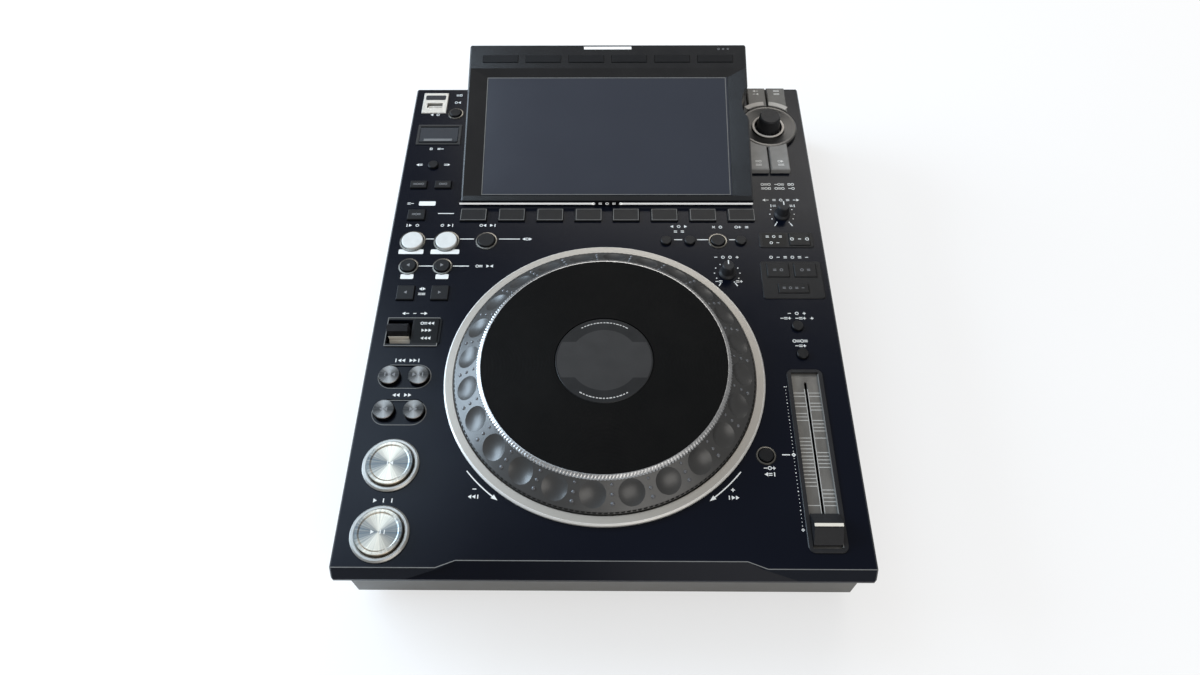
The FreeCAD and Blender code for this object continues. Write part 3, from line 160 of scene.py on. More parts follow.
class Form:
    """Gathers closed prisms and turned rings, drawn in millimetres, into one piece."""

    def __init__(self, lay):
        self.mesh, self.lay = bmesh.new(), lay

    def prism(self, outline, low, high):
        bottom = [self.mesh.verts.new(self.lay(x, y, low)) for x, y in outline]
        top = [self.mesh.verts.new(self.lay(x, y, high)) for x, y in outline]
        self.mesh.faces.new(top)
        self.mesh.faces.new(bottom[::-1])
        for index in range(len(outline)):
            after = (index + 1) % len(outline)
            self.mesh.faces.new((bottom[index], bottom[after], top[after], top[index]))

    def sweep(self, x, y, profiles):
        # Closed profiles of radius and height, set evenly about the point and joined up
        rings = []
        for step, profile in enumerate(profiles):
            angle = math.tau * step / len(profiles)
            rings.append([self.mesh.verts.new(self.lay(
                x + radius * math.cos(angle), y + radius * math.sin(angle), height))
                for radius, height in profile])
        for here, there in zip(rings, rings[1:] + rings[:1]):
            for index in range(len(here)):
                after = (index + 1) % len(here)
                self.mesh.faces.new((here[index], here[after], there[after], there[index]))

    def turn(self, x, y, profile, steps):
        self.sweep(x, y, [profile] * steps)

    def toothed(self, teeth, profile, proud):
        # A ring about the origin with teeth: the profile stands proud at every other step
        self.sweep(0, 0, [profile(proud * (step % 2)) for step in range(teeth * 2)])

    def piece(self, name, finish, body, slot, smooth=False):
        bmesh.ops.remove_doubles(self.mesh, verts=self.mesh.verts, dist=1e-7)
        bmesh.ops.recalc_face_normals(self.mesh, faces=self.mesh.faces)
        data = bpy.data.meshes.new(name)
        self.mesh.to_mesh(data)
        self.mesh.free()
        data.materials.append(finish.material)
        if smooth:
            data.shade_smooth()
            data.set_sharp_from_angle(angle=math.radians(35))
        made = bpy.data.objects.new(name, data)
        bpy.context.scene.collection.objects.link(made)
        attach(made, body)


def disc(x, y, radius, count):
    return [(x + radius * math.cos(math.tau * step / count),
             y + radius * math.sin(math.tau * step / count)) for step in range(count)]


def screw_heads(name, lay, places, radius):
    # Pan heads, each with a round recess in its middle
    form = Form(lay)
    for x, y in places:
        form.turn(x, y, [(0.001, 0), (radius, 0), (radius, 0.5), (radius * 0.75, 1.1),
                         (radius * 0.3, 1.25), (radius * 0.12, 0.6), (0.001, 0.6)], 16)
    form.piece(name, screw_black, "deck", "socket_metal", True)


screw_black = moulded("screw_black", (0.03, 0.03, 0.032, 1), (0.06, 0.06, 0.062, 1), 0.35,
                      0.0003, 0.00003, Metallic=0.9)
SCREW_COLUMNS, SCREW_ROWS = (-148, -50, 50, 148), (-200, 0, 200)
screw_heads("tray_screws", lambda x, y, z: Vector((x, -y, FLOOR_FACE / MM - z)) * MM,
            [(x, y) for x in SCREW_COLUMNS for y in SCREW_ROWS], 2.6)

# Upper case. One glossy black moulding with a blue cast that carries the whole deck;
# the grain is fine, and the gloss takes a soft reflection.
RING_PROUD = 3
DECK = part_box("jog_ring")[1].z / MM - RING_PROUD
case_black = moulded("case_black", (0.0016, 0.0023, 0.0054, 1), (0.003, 0.0044, 0.0098, 1),
                     0.24, 0.0004, 0.00001, 0.12, Specular_IOR_Level=0.12)
dress(case_black, "upper_case")


def on_deck(x, y, z):
    return Vector((x, y, DECK + z)) * MM


# Rear panel. The mains inlet, its rocker, the signal jacks and the data sockets are
# snapped through the tray's rear wall; the jacks are plated.
def patched(name, patch, dark, light, sheen, spread, rough, **plain):
    # Two shades in soft patches, and a sheen that varies in patches of its own
    finish = Finish(name, **plain)
    finish.give("Base Color", finish.blend(finish.noise(patch), dark, light))
    finish.give("Roughness", finish.noise(sheen) * spread + rough)
    return finish


socket_black = moulded("socket_black", (0.012, 0.012, 0.013, 1), (0.02, 0.02, 0.021, 1), 0.42,
                       0.0004, 0.00003, Specular_IOR_Level=0.35)
socket_metal = patched("socket_metal", 0.004, (0.52, 0.51, 0.48, 1), (0.72, 0.71, 0.68, 1),
                       0.003, 0.2, 0.22, Metallic=1.0)
socket_metal.relief(socket_metal.noise(0.0006, 3), 0.00003)
dress(socket_black, "mains_inlet", "rear_sockets", "power_rocker")
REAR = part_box("lower_case")[1].y / MM
JACK_PLACES = (44, 60, 76)
JACK_SHELL = [(1.7, 0.4), (1.7, 9.1), (4.2, 9.1), (4.35, 8.6), (4.35, 3.2), (4.2, 3.1), (2, 3)]
REAR_SCREWS = [(-150, 14), (-60, 14), (20, 14), (150, 14), (-150, 40), (-60, 40), (20, 40),
               (155, 40)]


def on_rear(x, y, z):
    return Vector((x, REAR + z, y)) * MM


def centre(node):
    # The middle of a piece's box, in millimetres
    low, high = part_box(node)
    return [(low[axis] + high[axis]) / 2 / MM for axis in range(3)]


jack_shells = Form(on_rear)
for jack_place in JACK_PLACES:
    jack_shells.turn(jack_place, centre("rear_sockets")[2], JACK_SHELL, 32)
jack_shells.piece("jack_shells", socket_metal, "deck", "socket_metal", True)
screw_heads("rear_screws", on_rear, REAR_SCREWS, 2.2)

# Printed marks. White ink is pad-printed on the deck: thin lines that join like keys,
# filled tabs, dots about the knobs and plain signs for back, forward, more and less.
INK, SIGN_PITCH = 0.06, 0.95
ink_white = moulded("ink_white", (0.62, 0.62, 0.6, 1), (0.78, 0.78, 0.76, 1), 0.6,
                    0.0005, 0.00002, 0.01)
ink_grey = moulded("ink_grey", (0.16, 0.16, 0.165, 1), (0.22, 0.22, 0.225, 1), 0.6,
                   0.0005, 0.00002, 0.01)


class Ink(Form):
    """Flat marks a few hundredths of a millimetre thick."""

    def bar(self, x0, y0, x1, y1, width):
        run = math.hypot(x1 - x0, y1 - y0)
        aside = ((y0 - y1) / run * width / 2, (x1 - x0) / run * width / 2)
        self.prism([(x0 - aside[0], y0 - aside[1]), (x1 - aside[0], y1 - aside[1]),
                    (x1 + aside[0], y1 + aside[1]), (x0 + aside[0], y0 + aside[1])], 0, INK)

    def tab(self, x, y, width, depth, corner=0.8):
        outline = []
        for quarter, (sx, sy) in enumerate(((1, 1), (-1, 1), (-1, -1), (1, -1))):
            for step in range(4):
                angle = math.pi / 2 * (quarter + step / 3)
                outline.append((x + sx * (width / 2 - corner) + corner * math.cos(angle),
                                y + sy * (depth / 2 - corner) + corner * math.sin(angle)))
        self.prism(outline, 0, INK)

    def hollow(self, x, y, width, depth, line):
        # Four bars about an empty rectangle
        left, right, low, high = x - width / 2, x + width / 2, y - depth / 2, y + depth / 2
        for level in (low + line / 2, high - line / 2):
            self.bar(left, level, right, level, line)
        for upright in (left + line / 2, right - line / 2):
            self.bar(upright, low + line, upright, high - line, line)

    def dot(self, x, y, radius, count=12):
        self.prism(disc(x, y, radius, count), 0, INK)

    def arc(self, x, y, radius, start, end, width, steps=16):
        points = []
        for reach, order in ((radius + width / 2, range(steps + 1)),
                             (radius - width / 2, range(steps, -1, -1))):
            for step in order:
                angle = math.radians(start + (end - start) * step / steps)
                points.append((x + reach * math.cos(angle), y + reach * math.sin(angle)))
        self.prism(points, 0, INK)

    def sign(self, x, y, high, kind):
        half, line = high / 2, high * 0.2
        if kind == ">":
            self.prism([(x - half * 0.8, y - half), (x + half * 0.8, y),
                        (x - half * 0.8, y + half)], 0, INK)
        elif kind == "<":
            self.prism([(x + half * 0.8, y - half), (x + half * 0.8, y + half),
                        (x - half * 0.8, y)], 0, INK)
        elif kind == "|":
            self.bar(x, y - half, x, y + half, line * 1.2)
        elif kind == "-":
            self.bar(x - half * 0.8, y, x + half * 0.8, y, line)
        elif kind == "+":
            self.bar(x - half * 0.8, y, x + half * 0.8, y, line)
            self.bar(x, y + line / 2, x, y + half * 0.8, line)
            self.bar(x, y - half * 0.8, x, y - line / 2, line)
        elif kind == "x":
            for turn in (45, 135):
                dx, dy = (half * math.cos(math.radians(turn)), half * math.sin(math.radians(turn)))
                self.bar(x - dx, y - dy, x + dx, y + dy, line)
        elif kind == "=":
            for lift in (-0.45, 0.45):
                self.bar(x - half * 0.9, y + half * lift, x + half * 0.9, y + half * lift, line)
        elif kind == "o":
            self.turn(x, y, [(half * 0.95, 0), (half * 0.95, INK), (half * 0.6, INK),
                             (half * 0.6, 0)], 20)
        elif kind == "#":
            self.bar(x - half * 0.7, y - half * 0.7, x + half * 0.7, y - half * 0.7, line)
            self.bar(x - half * 0.7, y + half * 0.7, x + half * 0.7, y + half * 0.7, line)
            self.bar(x - half * 0.6, y - half * 0.6, x - half * 0.6, y + half * 0.6, line)
            self.bar(x + half * 0.6, y - half * 0.6, x + half * 0.6, y + half * 0.6, line)

    def row(self, x, y, high, signs):
        step = high * SIGN_PITCH
        for index, kind in enumerate(signs):
            if kind != " ":
                self.sign(x + (index - (len(signs) - 1) / 2) * step, y, high, kind)


LINE = 0.75
print_white = Ink(on_deck)
# Lines that join keys: their left and right ends, and their place up the deck
for left, right, row_y in ((-136.8, -130.7, 31.5), (-110.8, -100.1, 31.5), (-81, -65, 31.5),
                           (-139.5, -127.6, 5.6), (-113.4, -101.5, 5.6), (-130.4, -118, 57),
                           (52, 58.1, 31), (69.4, 77.8, 31), (93.7, 98.2, 31),
                           (114.8, 119.9, -147)):
    print_white.bar(left, row_y, right, row_y, LINE)
# Filled tabs by the slip and loop keys
for tab_x, tab_y, tab_width in ((-146.5, 19.2, 18.7), (-120.9, 19.2, 21.6),
                                (-146.5, -4.2, 9.6), (-120.5, -4.2, 9.6), (-140, 67.3, 13)):
    print_white.tab(tab_x, tab_y, tab_width, 4.4)
# Rows of signs: the middle of each row, and its signs from left to right
SIGN = 3.4
for mark_x, mark_y, signs in (
        (-145.5, 167, "< o"), (-127, 191, "=#"), (-127.5, 182, "o<"), (-144, 126.8, "#"),
        (-136.2, 126.8, "=-"), (-151.5, 109, "<="), (-128.8, 109, "=>"), (-153, 67.3, "=-"),
        (-149, 45, "|> o"), (-121.7, 45, "o >|"), (-90.4, 45, "o< >|"), (-59.5, 31.5, "<o>"),
        (-90, 5.6, "o= ><"), (-133.6, -15.4, "<>"), (-133.6, -20, "=="),
        (-136.3, -37.2, "<- - ->"), (-136.4, -76.6, "|<< >>|"), (-136.5, -103.9, "<< >>"),
        (-137.7, -179.2, "> | |"), (136, 87.5, "o=o -o= #o"), (136, 83.2, "=o# o=o -o"),
        (137, 71, "<- = o = ->"), (130, 65, "|="), (145.5, 65, "=|"), (137, 14.2, "o - = o = -"),
        (137, -36.6, "- o +"), (136.7, -40.8, "-=+ -=+ +"), (136.7, -60, "o=o="),
        (136.7, -64, "-=+"), (56, 44, "< o >"), (56, 39, "= ="), (85.3, 43.4, "x o"),
        (104, 43.4, "o+ ="), (90.5, 14.2, "- o o +"), (83.4, -8.3, "-="), (98.4, -8.3, "=+"),
        (106, -156.3, "-o+"), (106, -160.6, "<=|")):
    print_white.row(mark_x, mark_y, SIGN * 0.82, signs)
# Dots about the two small knobs, with a tick at each end of the turn
DOT_REACH, TICK_START, TICK_END = 9.4, 10.4, 13.6
for knob_node in ("vinyl_knob", "jog_adjust_knob"):
    knob_x, knob_y, _ = centre(knob_node)
    for step in range(11):
        angle = math.radians(-60 + 30 * step)
        print_white.dot(knob_x + DOT_REACH * math.cos(angle),
                        knob_y + DOT_REACH * math.sin(angle), 0.5)
    for turn in (-60, 240):
        dx, dy = math.cos(math.radians(turn)), math.sin(math.radians(turn))
        print_white.bar(knob_x + TICK_START * dx, knob_y + TICK_START * dy,
                        knob_x + TICK_END * dx, knob_y + TICK_END * dy, 0.8)
# Curved arrows beside the ring's front, each with its sign
WHEEL_Y = centre("jog_ring")[1]
ARROW = 113.2
for start, end, tip, sign_x, sign in ((219.5, 232, 232.8, -81.4, "-"),
                                      (320.5, 308, 307.2, 81.4, "+")):
    print_white.arc(0, WHEEL_Y, ARROW, start, end, LINE)
    angle = math.radians(tip)
    heading = angle + math.copysign(math.pi / 2, end - start)
    point = Vector((ARROW * math.cos(angle), WHEEL_Y + ARROW * math.sin(angle)))
    ahead = Vector((math.cos(heading), math.sin(heading)))
    across = Vector((-ahead.y, ahead.x))
    print_white.prism([tuple(point + ahead * 2.6), tuple(point - ahead * 1.6 + across * 1.5),
                       tuple(point - ahead * 1.6 - across * 1.5)], 0, INK)
    print_white.sign(sign_x, -171.3, SIGN * 0.9, sign)
    print_white.row(sign_x, -176.4, SIGN * 0.8, "<<|" if sign_x < 0 else "|>>")
# The fader's dotted scale: every fifth dot is larger, and diamonds mark its middle and end
DOT_PITCH, DOT_X, DOT_TOP, DOT_COUNT = 2.51, 122.3, -96.8, 41
for step in range(DOT_COUNT):
    print_white.dot(DOT_X, DOT_TOP - DOT_PITCH * step, 0.28 if step % 5 else 0.42, 8)
for dot_y, dot_radius in ((-147, 1.5), (-197.2, 1.1)):
    print_white.dot(DOT_X, dot_y, dot_radius, 4)
print_white.bar(DOT_X - 1, DOT_TOP, DOT_X + 1, DOT_TOP, 0.6)
print_white.piece("deck_print", ink_white, "deck", "key_white")

# Deck edges. A thin pale line, painted as a highlight, marks where the deck turns down into
# the nose, and another painted highlight runs about each of the two sunk trays.
edge_grey = moulded("edge_grey", (0.12, 0.118, 0.112, 1), (0.22, 0.215, 0.205, 1), 0.35,
                    0.0004, 0.00002, 0.01)
deck_edge_highlights = Ink(on_deck)
NOSE_EDGE = ((-164, -221.6), (-100.6, -221.6), (-88.8, -217.1), (86.9, -217.1),
             (98.7, -221.6), (164, -221.6))
TRAY_LEFT, TRAY_RIGHT, TRAY_REACH, TRAY_LINE = -145.45, -127.75, 9.2, 0.45
# Painted highlight lines along the nose's edge, then about the two trays
for start, end in zip(NOSE_EDGE, NOSE_EDGE[1:]):
    deck_edge_highlights.bar(*start, *end, 0.5)
for tray_y in (-89.5, -117.2):
    for end_x, start in ((TRAY_LEFT, 90), (TRAY_RIGHT, -90)):
        deck_edge_highlights.arc(end_x, tray_y, TRAY_REACH, start, start + 180, TRAY_LINE)
    for level in (TRAY_REACH, -TRAY_REACH):
        deck_edge_highlights.bar(TRAY_LEFT, tray_y + level, TRAY_RIGHT, tray_y + level, TRAY_LINE)
deck_edge_highlights.piece("deck_edge_highlights", edge_grey, "deck", "key_dark")

# Media corner. A bright socket plate with a dark signal window above the slot, and
# the smoked door of the card bay with a grip lip, whose ridges carry a painted highlight.
plate_x, plate_y, _ = centre("usb_socket")
plate_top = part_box("usb_socket")[1].z / MM
WINDOW_UP = 6.3
RIB_LEFT, RIB_RIGHT, RIB_HALF, RIB_PITCH = -7.4, -6.5, 2, 1.8
usb_plate = patched("usb_plate", 0.01, (0.55, 0.53, 0.49, 1), (0.68, 0.66, 0.62, 1), 0.002, 0.15,
                    0.3, Metallic=0.75)
usb_plate.relief(usb_plate.noise(0.0005), 0.00002)
dress(usb_plate, "usb_socket")
smoked = moulded("smoked_window", (0.03, 0.03, 0.034, 1), (0.055, 0.055, 0.06, 1), 0.25,
                 0.0006, 0.00004, 0.004)
usb_window = Ink(lambda x, y, z: Vector((plate_x + x, plate_y + WINDOW_UP + y,
                                         plate_top + z)) * MM)
usb_window.tab(0, 0, 17, 5.6, 1.2)
for step in range(9):
    left, right = (edge + step * RIB_PITCH for edge in (RIB_LEFT, RIB_RIGHT))
    usb_window.prism([(left, -RIB_HALF), (right, -RIB_HALF), (right, RIB_HALF),
                      (left, RIB_HALF)], INK, 0.35)
usb_window.piece("usb_window", smoked, "deck", "socket_black")
door_smoke = moulded("door_smoke", (0.028, 0.03, 0.034, 1), (0.042, 0.044, 0.05, 1), 0.3,
                     0.0004, 0.00003, 0.02)
dress(door_smoke, "card_door")
dress(socket_black, "card_bay")
door_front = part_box("card_door")[0].y / MM
GRIP_LEFT, GRIP_RIGHT, GRIP_HALF, GRIP_PITCH = -151, -127.6, 0.25, 0.9
door_grip = Form(on_deck)
for step in range(3):
    y = door_front + 1.0 + step * GRIP_PITCH
    door_grip.prism([(GRIP_LEFT, y - GRIP_HALF), (GRIP_RIGHT, y - GRIP_HALF),
                     (GRIP_RIGHT, y + GRIP_HALF), (GRIP_LEFT, y + GRIP_HALF)], 1.0, 1.62)
# The grip ridges are paler grey: a painted highlight along the door's lip
door_lip_highlight = moulded("door_lip_highlight", (0.2, 0.2, 0.2, 1), (0.27, 0.27, 0.27, 1), 0.35,
                      0.0004, 0.00003)
door_grip.piece("card_door_grip", door_lip_highlight, "card_door", "socket_black")

# Screen. A black wedge moulding holds a smoked glass panel set in sloping cheeks; a
# strip of six flat keys and a lit bar run along its top edge.
screen_plastic = moulded("screen_plastic", (0.004, 0.0042, 0.005, 1), (0.007, 0.0074, 0.0088, 1),
                         0.24, 0.0005, 0.00002, 0.05, Specular_IOR_Level=0.5)
dress(screen_plastic, "screen_housing")
screen_glass = moulded("screen_glass", (0.030, 0.0325, 0.042, 1), (0.036, 0.039, 0.05, 1),
                       0.2, 0.0006, 0.00001, 0.08, Specular_IOR_Level=0.25)
dress(screen_glass, "screen_glass")
key_dark = moulded("key_dark", (0.0035, 0.0037, 0.0045, 1), (0.0065, 0.0068, 0.008, 1), 0.4,
                   0.0004, 0.00003, 0.01, Specular_IOR_Level=0.2)
dress(key_dark, "strip_keys")
wedge_low, wedge_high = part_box("screen_housing")
FACE_FOOT = Vector((1, wedge_low.y / MM, DECK + 6))
FACE_TOP = Vector((1, 201.1, wedge_high.z / MM))
FACE_UP = (FACE_TOP - FACE_FOOT).normalized()
FACE_OUT = Vector((1, 0, 0)).cross(FACE_UP)


def on_face(x, y, z):
    return (FACE_FOOT + Vector((x, 0, 0)) + FACE_UP * y + FACE_OUT * z) * MM


light_white = patched("light_white", 0.003, (0.8, 0.8, 0.78, 1), (0.9, 0.9, 0.88, 1), 0.002, 0.1,
                      0.35, Emission_Strength=0.35)
light_white.give("Emission Color", light_white.blend(
    light_white.noise(0.004), (0.85, 0.86, 0.9, 1), (1, 1, 1, 1)))
BAR_HALF, BAR_LOW, BAR_HIGH = 19.5, 137.4, 139.8
light_bar = Ink(on_face)
light_bar.prism([(-BAR_HALF, BAR_LOW), (BAR_HALF, BAR_LOW), (BAR_HALF, BAR_HIGH),
                 (-BAR_HALF, BAR_HIGH)], 0, 0.2)
light_bar.piece("screen_light_bar", light_white, "deck", "key_white")

# Pale lines on the upright step in front of the screen, printed in the glowing white finish: a
# painted glow that lifts the ink out of the step's shade, though the print is no lamp
STEP_MIDDLE = 2.4
step_print_glow = Ink(lambda x, y, z: Vector((x, wedge_low.y / MM - z, DECK + y)) * MM)
for left, right in ((-114.2, -9.2), (11.1, 114.4)):
    step_print_glow.bar(left, STEP_MIDDLE, right, STEP_MIDDLE, 2)
step_print_glow.row(1, STEP_MIDDLE, 2.8, "o = o = o")
step_print_glow.piece("screen_step_print", light_white, "deck", "key_white")

# A thin line about the sunk glass, painted as the highlight on the glass's edge, and grey signs on
# the strip keys and by the lit bar
GLASS_SINK = 2.6
glass_edge_highlight = Ink(lambda x, y, z: on_face(x, y, z - GLASS_SINK))
glass_edge_highlight.hollow(-1, 59.2, 194.6, 106, 0.55)
glass_edge_highlight.piece("screen_glass_edge", edge_grey, "deck", "socket_metal")
STRIP_PITCH = 35.2
strip_print = Ink(on_face)
for index, signs in enumerate(("=o=", "o-o", "=-=", "o=o", "-o-", "===")):
    strip_print.row(STRIP_PITCH * (index - 2.5), 128.3, 1.9, signs)
strip_print.piece("strip_marks", ink_grey, "strip_keys", "key_dark")
corner_print = Ink(on_face)
corner_print.row(95, 137.6, 2, "o = =")
corner_print.piece("screen_corner_marks", ink_grey, "deck", "key_dark")

# Jog wheel. A broad satin ring of pressed aluminium holds the dial; the dial is clear
# smoked plastic with dimples and grip dots, and a black platter with cut grooves.
ring_metal = Finish("ring_metal", Metallic=0.55)
RING_BEVEL = 0.108
ring_reach = ring_metal.away_from(0, WHEEL_Y)[0]
brushed = ring_metal.streaks(ring_reach, 4000)
# Past the bevel's radius the ring is painted near white: a painted highlight along its outer
# bevel, over the brushed satin colour
painted_bevel_highlight = ring_reach > RING_BEVEL
ring_metal.give("Base Color", ring_metal.blend(painted_bevel_highlight, ring_metal.blend(
    brushed, (0.33, 0.305, 0.27, 1), (0.43, 0.40, 0.36, 1)), (0.85, 0.83, 0.79, 1)))
ring_metal.give("Roughness", brushed * 0.12 + 0.34)
ring_metal.relief(brushed, 0.00002, 0.5)
dress(ring_metal, "jog_ring")

PLATTER, RIM, SLOPE_IN, SLOPE_OUT = 82.3, 84.6, 84.6, 100.4
SLOPE_TOP, SLOPE_FOOT = 17, 5.6
GROOVE_IN, GROOVE_PITCH = 36, 0.0009
PLATTER_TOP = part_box("jog_dial")[1].z / MM - DECK
dial = Finish("dial_plastic", Specular_IOR_Level=0.3)
reach = dial.away_from(0, WHEEL_Y)[0]
outside = reach > (PLATTER + 0.6) * MM
cloud = dial.noise(0.02, 3)
dial.give("Base Color", dial.blend(
    outside, dial.blend(cloud, (0.007, 0.007, 0.007, 1), (0.01, 0.0097, 0.0094, 1)),
    dial.blend(cloud, (0.055, 0.054, 0.053, 1), (0.085, 0.084, 0.082, 1))))
dial.give("Roughness", outside * -0.19 + 0.55)
dial.give("Metallic", outside * -0.4 + 1)
groove = (reach * (math.tau / GROOVE_PITCH)).maths("SINE")
grooved = (reach < (PLATTER - 2) * MM) * (reach > GROOVE_IN * MM)
dial.relief(groove * grooved + dial.noise(0.0004) * 0.3, 0.00003)
dress(dial, "jog_dial")

rim_metal = patched("rim_metal", 0.003, (0.28, 0.28, 0.28, 1), (0.55, 0.55, 0.55, 1), 0.002, 0.2,
                    0.2, Metallic=1.0)
rim_metal.relief(rim_metal.noise(0.0004), 0.00002)


def on_wheel(x, y, z):
    return Vector((x, WHEEL_Y + y, DECK + z)) * MM


# The milled rim of the platter: fine teeth about its edge
milled = Form(on_wheel)
milled.toothed(240, lambda proud: (
    (RIM - 0.6, 16.6), (RIM + 0.5 + proud, 16.9), (RIM - 0.1 + proud, 17.9),
    (PLATTER + 0.6, 18.86), (PLATTER - 0.4, 18.9), (PLATTER - 0.4, 16.6)), 0.45)
milled.piece("platter_rim", rim_metal, "jog_dial", "ring_metal")

# The slope's foot, and a knurled edge where the dial meets its ring
skirt = Form(on_wheel)
skirt.turn(0, 0, [(100.2, 4), (100.2, 5.75), (101.35, 5), (101.35, 4)], 120)
skirt.piece("dial_skirt", dial, "jog_dial", "dial_plastic", True)
knurl = Form(on_wheel)
knurl.toothed(180, lambda proud: ((101.3, 3.2), (102.1, 3.2), (102.1, 3.9 + proud),
                                  (101.4 + proud, 4.6 + proud), (101.3, 4.6)), 0.35)
knurl_black = moulded("knurl_black", (0.006, 0.006, 0.006, 1), (0.014, 0.0138, 0.0135, 1), 0.4,
                      0.0004, 0.00003, 0.004)
knurl.piece("dial_knurled_edge", knurl_black, "jog_dial", "dial_plastic")

# Three grip dots in a radial row between each pair of dimples
dial_clear = patched("dial_dot", 0.003, (0.09, 0.092, 0.1, 1), (0.13, 0.132, 0.14, 1), 0.002, 0.1,
                     0.22, Metallic=0.3, Specular_IOR_Level=0.5)
dial_clear.relief(dial_clear.noise(0.0004), 0.00001)
DIMPLES, DIMPLE_START = 24, -4
slope = Vector((SLOPE_OUT - SLOPE_IN, SLOPE_FOOT - SLOPE_TOP))
slope_angle = math.atan2(-slope.y, slope.x)
grip = Form(on_wheel)
for step in range(DIMPLES):
    angle = math.tau * (step + 0.5) / DIMPLES + math.radians(DIMPLE_START)
    for share, radius in ((0.18, 1.0), (0.5, 1.2), (0.8, 1.35)):
        out, height = SLOPE_IN + slope.x * share, SLOPE_TOP + slope.y * share
        turn = Matrix.Rotation(angle, 4, "Z") @ Matrix.Translation(
            Vector((out, 0, height)) * MM) @ Matrix.Rotation(slope_angle, 4, "Y")
        bmesh.ops.create_uvsphere(
            grip.mesh, u_segments=12, v_segments=6, radius=radius * MM,
            matrix=Matrix.Translation(on_wheel(0, 0, 0)) @ turn @ Matrix.Diagonal(
                (1, 1, 0.65, 1)))
grip.piece("dial_grip_dots", dial_clear, "jog_dial", "dial_plastic", True)

# The middle display: smoked glass over a paler round-and-band shape
display = Finish("display_glass", Specular_IOR_Level=0.2)
BAND_HALF, ROUND, PALE_END = 0.0138, 0.0235, 0.0315
show_reach, _, show_y = display.away_from(0, WHEEL_Y)
band = show_y.maths("ABSOLUTE") < BAND_HALF
pale = band.maths("MAXIMUM", band, show_reach < ROUND) * (show_reach < PALE_END)
mist = display.noise(0.01, 2)
display.give("Base Color", display.blend(
    pale, display.blend(mist, (0.011, 0.011, 0.0115, 1), (0.015, 0.015, 0.0155, 1)),
    display.blend(mist, (0.027, 0.026, 0.026, 1), (0.034, 0.033, 0.033, 1))))
display.give("Roughness", mist * 0.08 + 0.28)
display.relief(display.noise(0.0005), 0.00001)
dress(display, "jog_display")
band_pale = moulded("band_pale", (0.42, 0.4, 0.38, 1), (0.54, 0.52, 0.49, 1), 0.4,
                    0.0005, 0.00002)
display_print = Ink(lambda x, y, z: on_wheel(x, y, PLATTER_TOP + z))
MARKS, MARK_PITCH, MARK_REACH = 15, 4.4, 29.4
for middle in (90, 270):
    for step in range(MARKS):
        angle = middle + (step - MARKS // 2) * MARK_PITCH
        spread = 1.2 if step % 3 else 1.8
        display_print.arc(0, 0, MARK_REACH, angle - spread, angle + spread, 0.7, 2)
display_print.piece("display_print", band_pale, "deck", "key_white")

# Selector. A black dished collar about a pale ring, and a fluted knob that turns and is
# pressed; four smoked keys stand round it.
selector_black = moulded("selector_black", (0.010, 0.010, 0.0105, 1), (0.018, 0.018, 0.019, 1),
                         0.26, 0.0004, 0.00003, 0.01, Specular_IOR_Level=0.5)
dish_black = Finish("dish_black", Metallic=0.85, Anisotropic=0.8)
dish_x, dish_y, _ = centre("selector_dish")
dish_marks = dish_black.streaks(dish_black.away_from(dish_x, dish_y)[0], 2500)
dish_black.give("Base Color", dish_black.blend(
    dish_marks, (0.03, 0.029, 0.028, 1), (0.16, 0.155, 0.15, 1)))
dish_black.give("Roughness", dish_marks * 0.1 + 0.3)
dish_black.relief(dish_marks, 0.00002)
dress(dish_black, "selector_dish")
dress(selector_black, "selector_shaft")
knob_black = moulded("knob_black", (0.012, 0.012, 0.013, 1), (0.022, 0.022, 0.024, 1), 0.38,
                     0.0003, 0.00003, 0.006)
dress(knob_black, "selector_knob", "vinyl_knob", "jog_adjust_knob")
HUB_X, HUB_Y, _ = centre("selector_knob")
HUB_RING = [(11.35, 3.3), (13.1, 3.5), (13.1, 3.8), (12.6, 4.05), (11.7, 4.05), (11.35, 3.8)]
hub_ring = Form(on_deck)
hub_ring.turn(HUB_X, HUB_Y, HUB_RING, 64)
ring_pale = moulded("ring_pale", (0.5, 0.47, 0.43, 1), (0.62, 0.58, 0.54, 1), 0.35,
                    0.0004, 0.00002, 0.006)
hub_ring.piece("selector_light_ring", ring_pale, "deck", "key_white", True)
key_clear = moulded("key_clear", (0.11, 0.107, 0.1, 1), (0.17, 0.166, 0.158, 1), 0.3,
                    0.0006, 0.00003, 0.006)
key_pale = moulded("key_pale", (0.17, 0.168, 0.163, 1), (0.25, 0.247, 0.24, 1), 0.32,
                   0.0006, 0.00003, 0.006)
dress(key_clear, "menu_key", "tag_key")
dress(key_pale, "filter_key", "shortcut_key")

# Two rows of signs on each of the four keys, and a pale band on the two behind the knob,
# which runs between two bearings from the knob's middle
ROW_HIGH, ROW_LIFT = 2.6, 1.9
for key_name, start, end, signs in (("menu_key", 93, 128, "<-"), ("tag_key", 50, 84, "=="),
                                    ("filter_key", 0, 0, "=o"), ("shortcut_key", 0, 0, "o>")):
    low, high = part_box(key_name)
    centre_x = centre(key_name)[0]
    marks = Ink(lambda x, y, z: Vector((x, y, high.z / MM + z)) * MM)
    mark_y = (high.y / MM - 6) if start else (low.y / MM + 7)
    marks.row(centre_x, mark_y + ROW_LIFT, ROW_HIGH, signs)
    marks.row(centre_x, mark_y - ROW_LIFT, ROW_HIGH, signs[::-1] if start else "==")
    marks.piece(key_name + "_marks", ink_white, key_name, "key_white")
    if start:
        bright = Ink(lambda x, y, z: Vector((x, y, high.z / MM + z)) * MM)
        bright.arc(HUB_X, HUB_Y, 26.8, start, end, 4.2)
        bright.piece(key_name + "_band", band_pale, key_name, "key_clear")

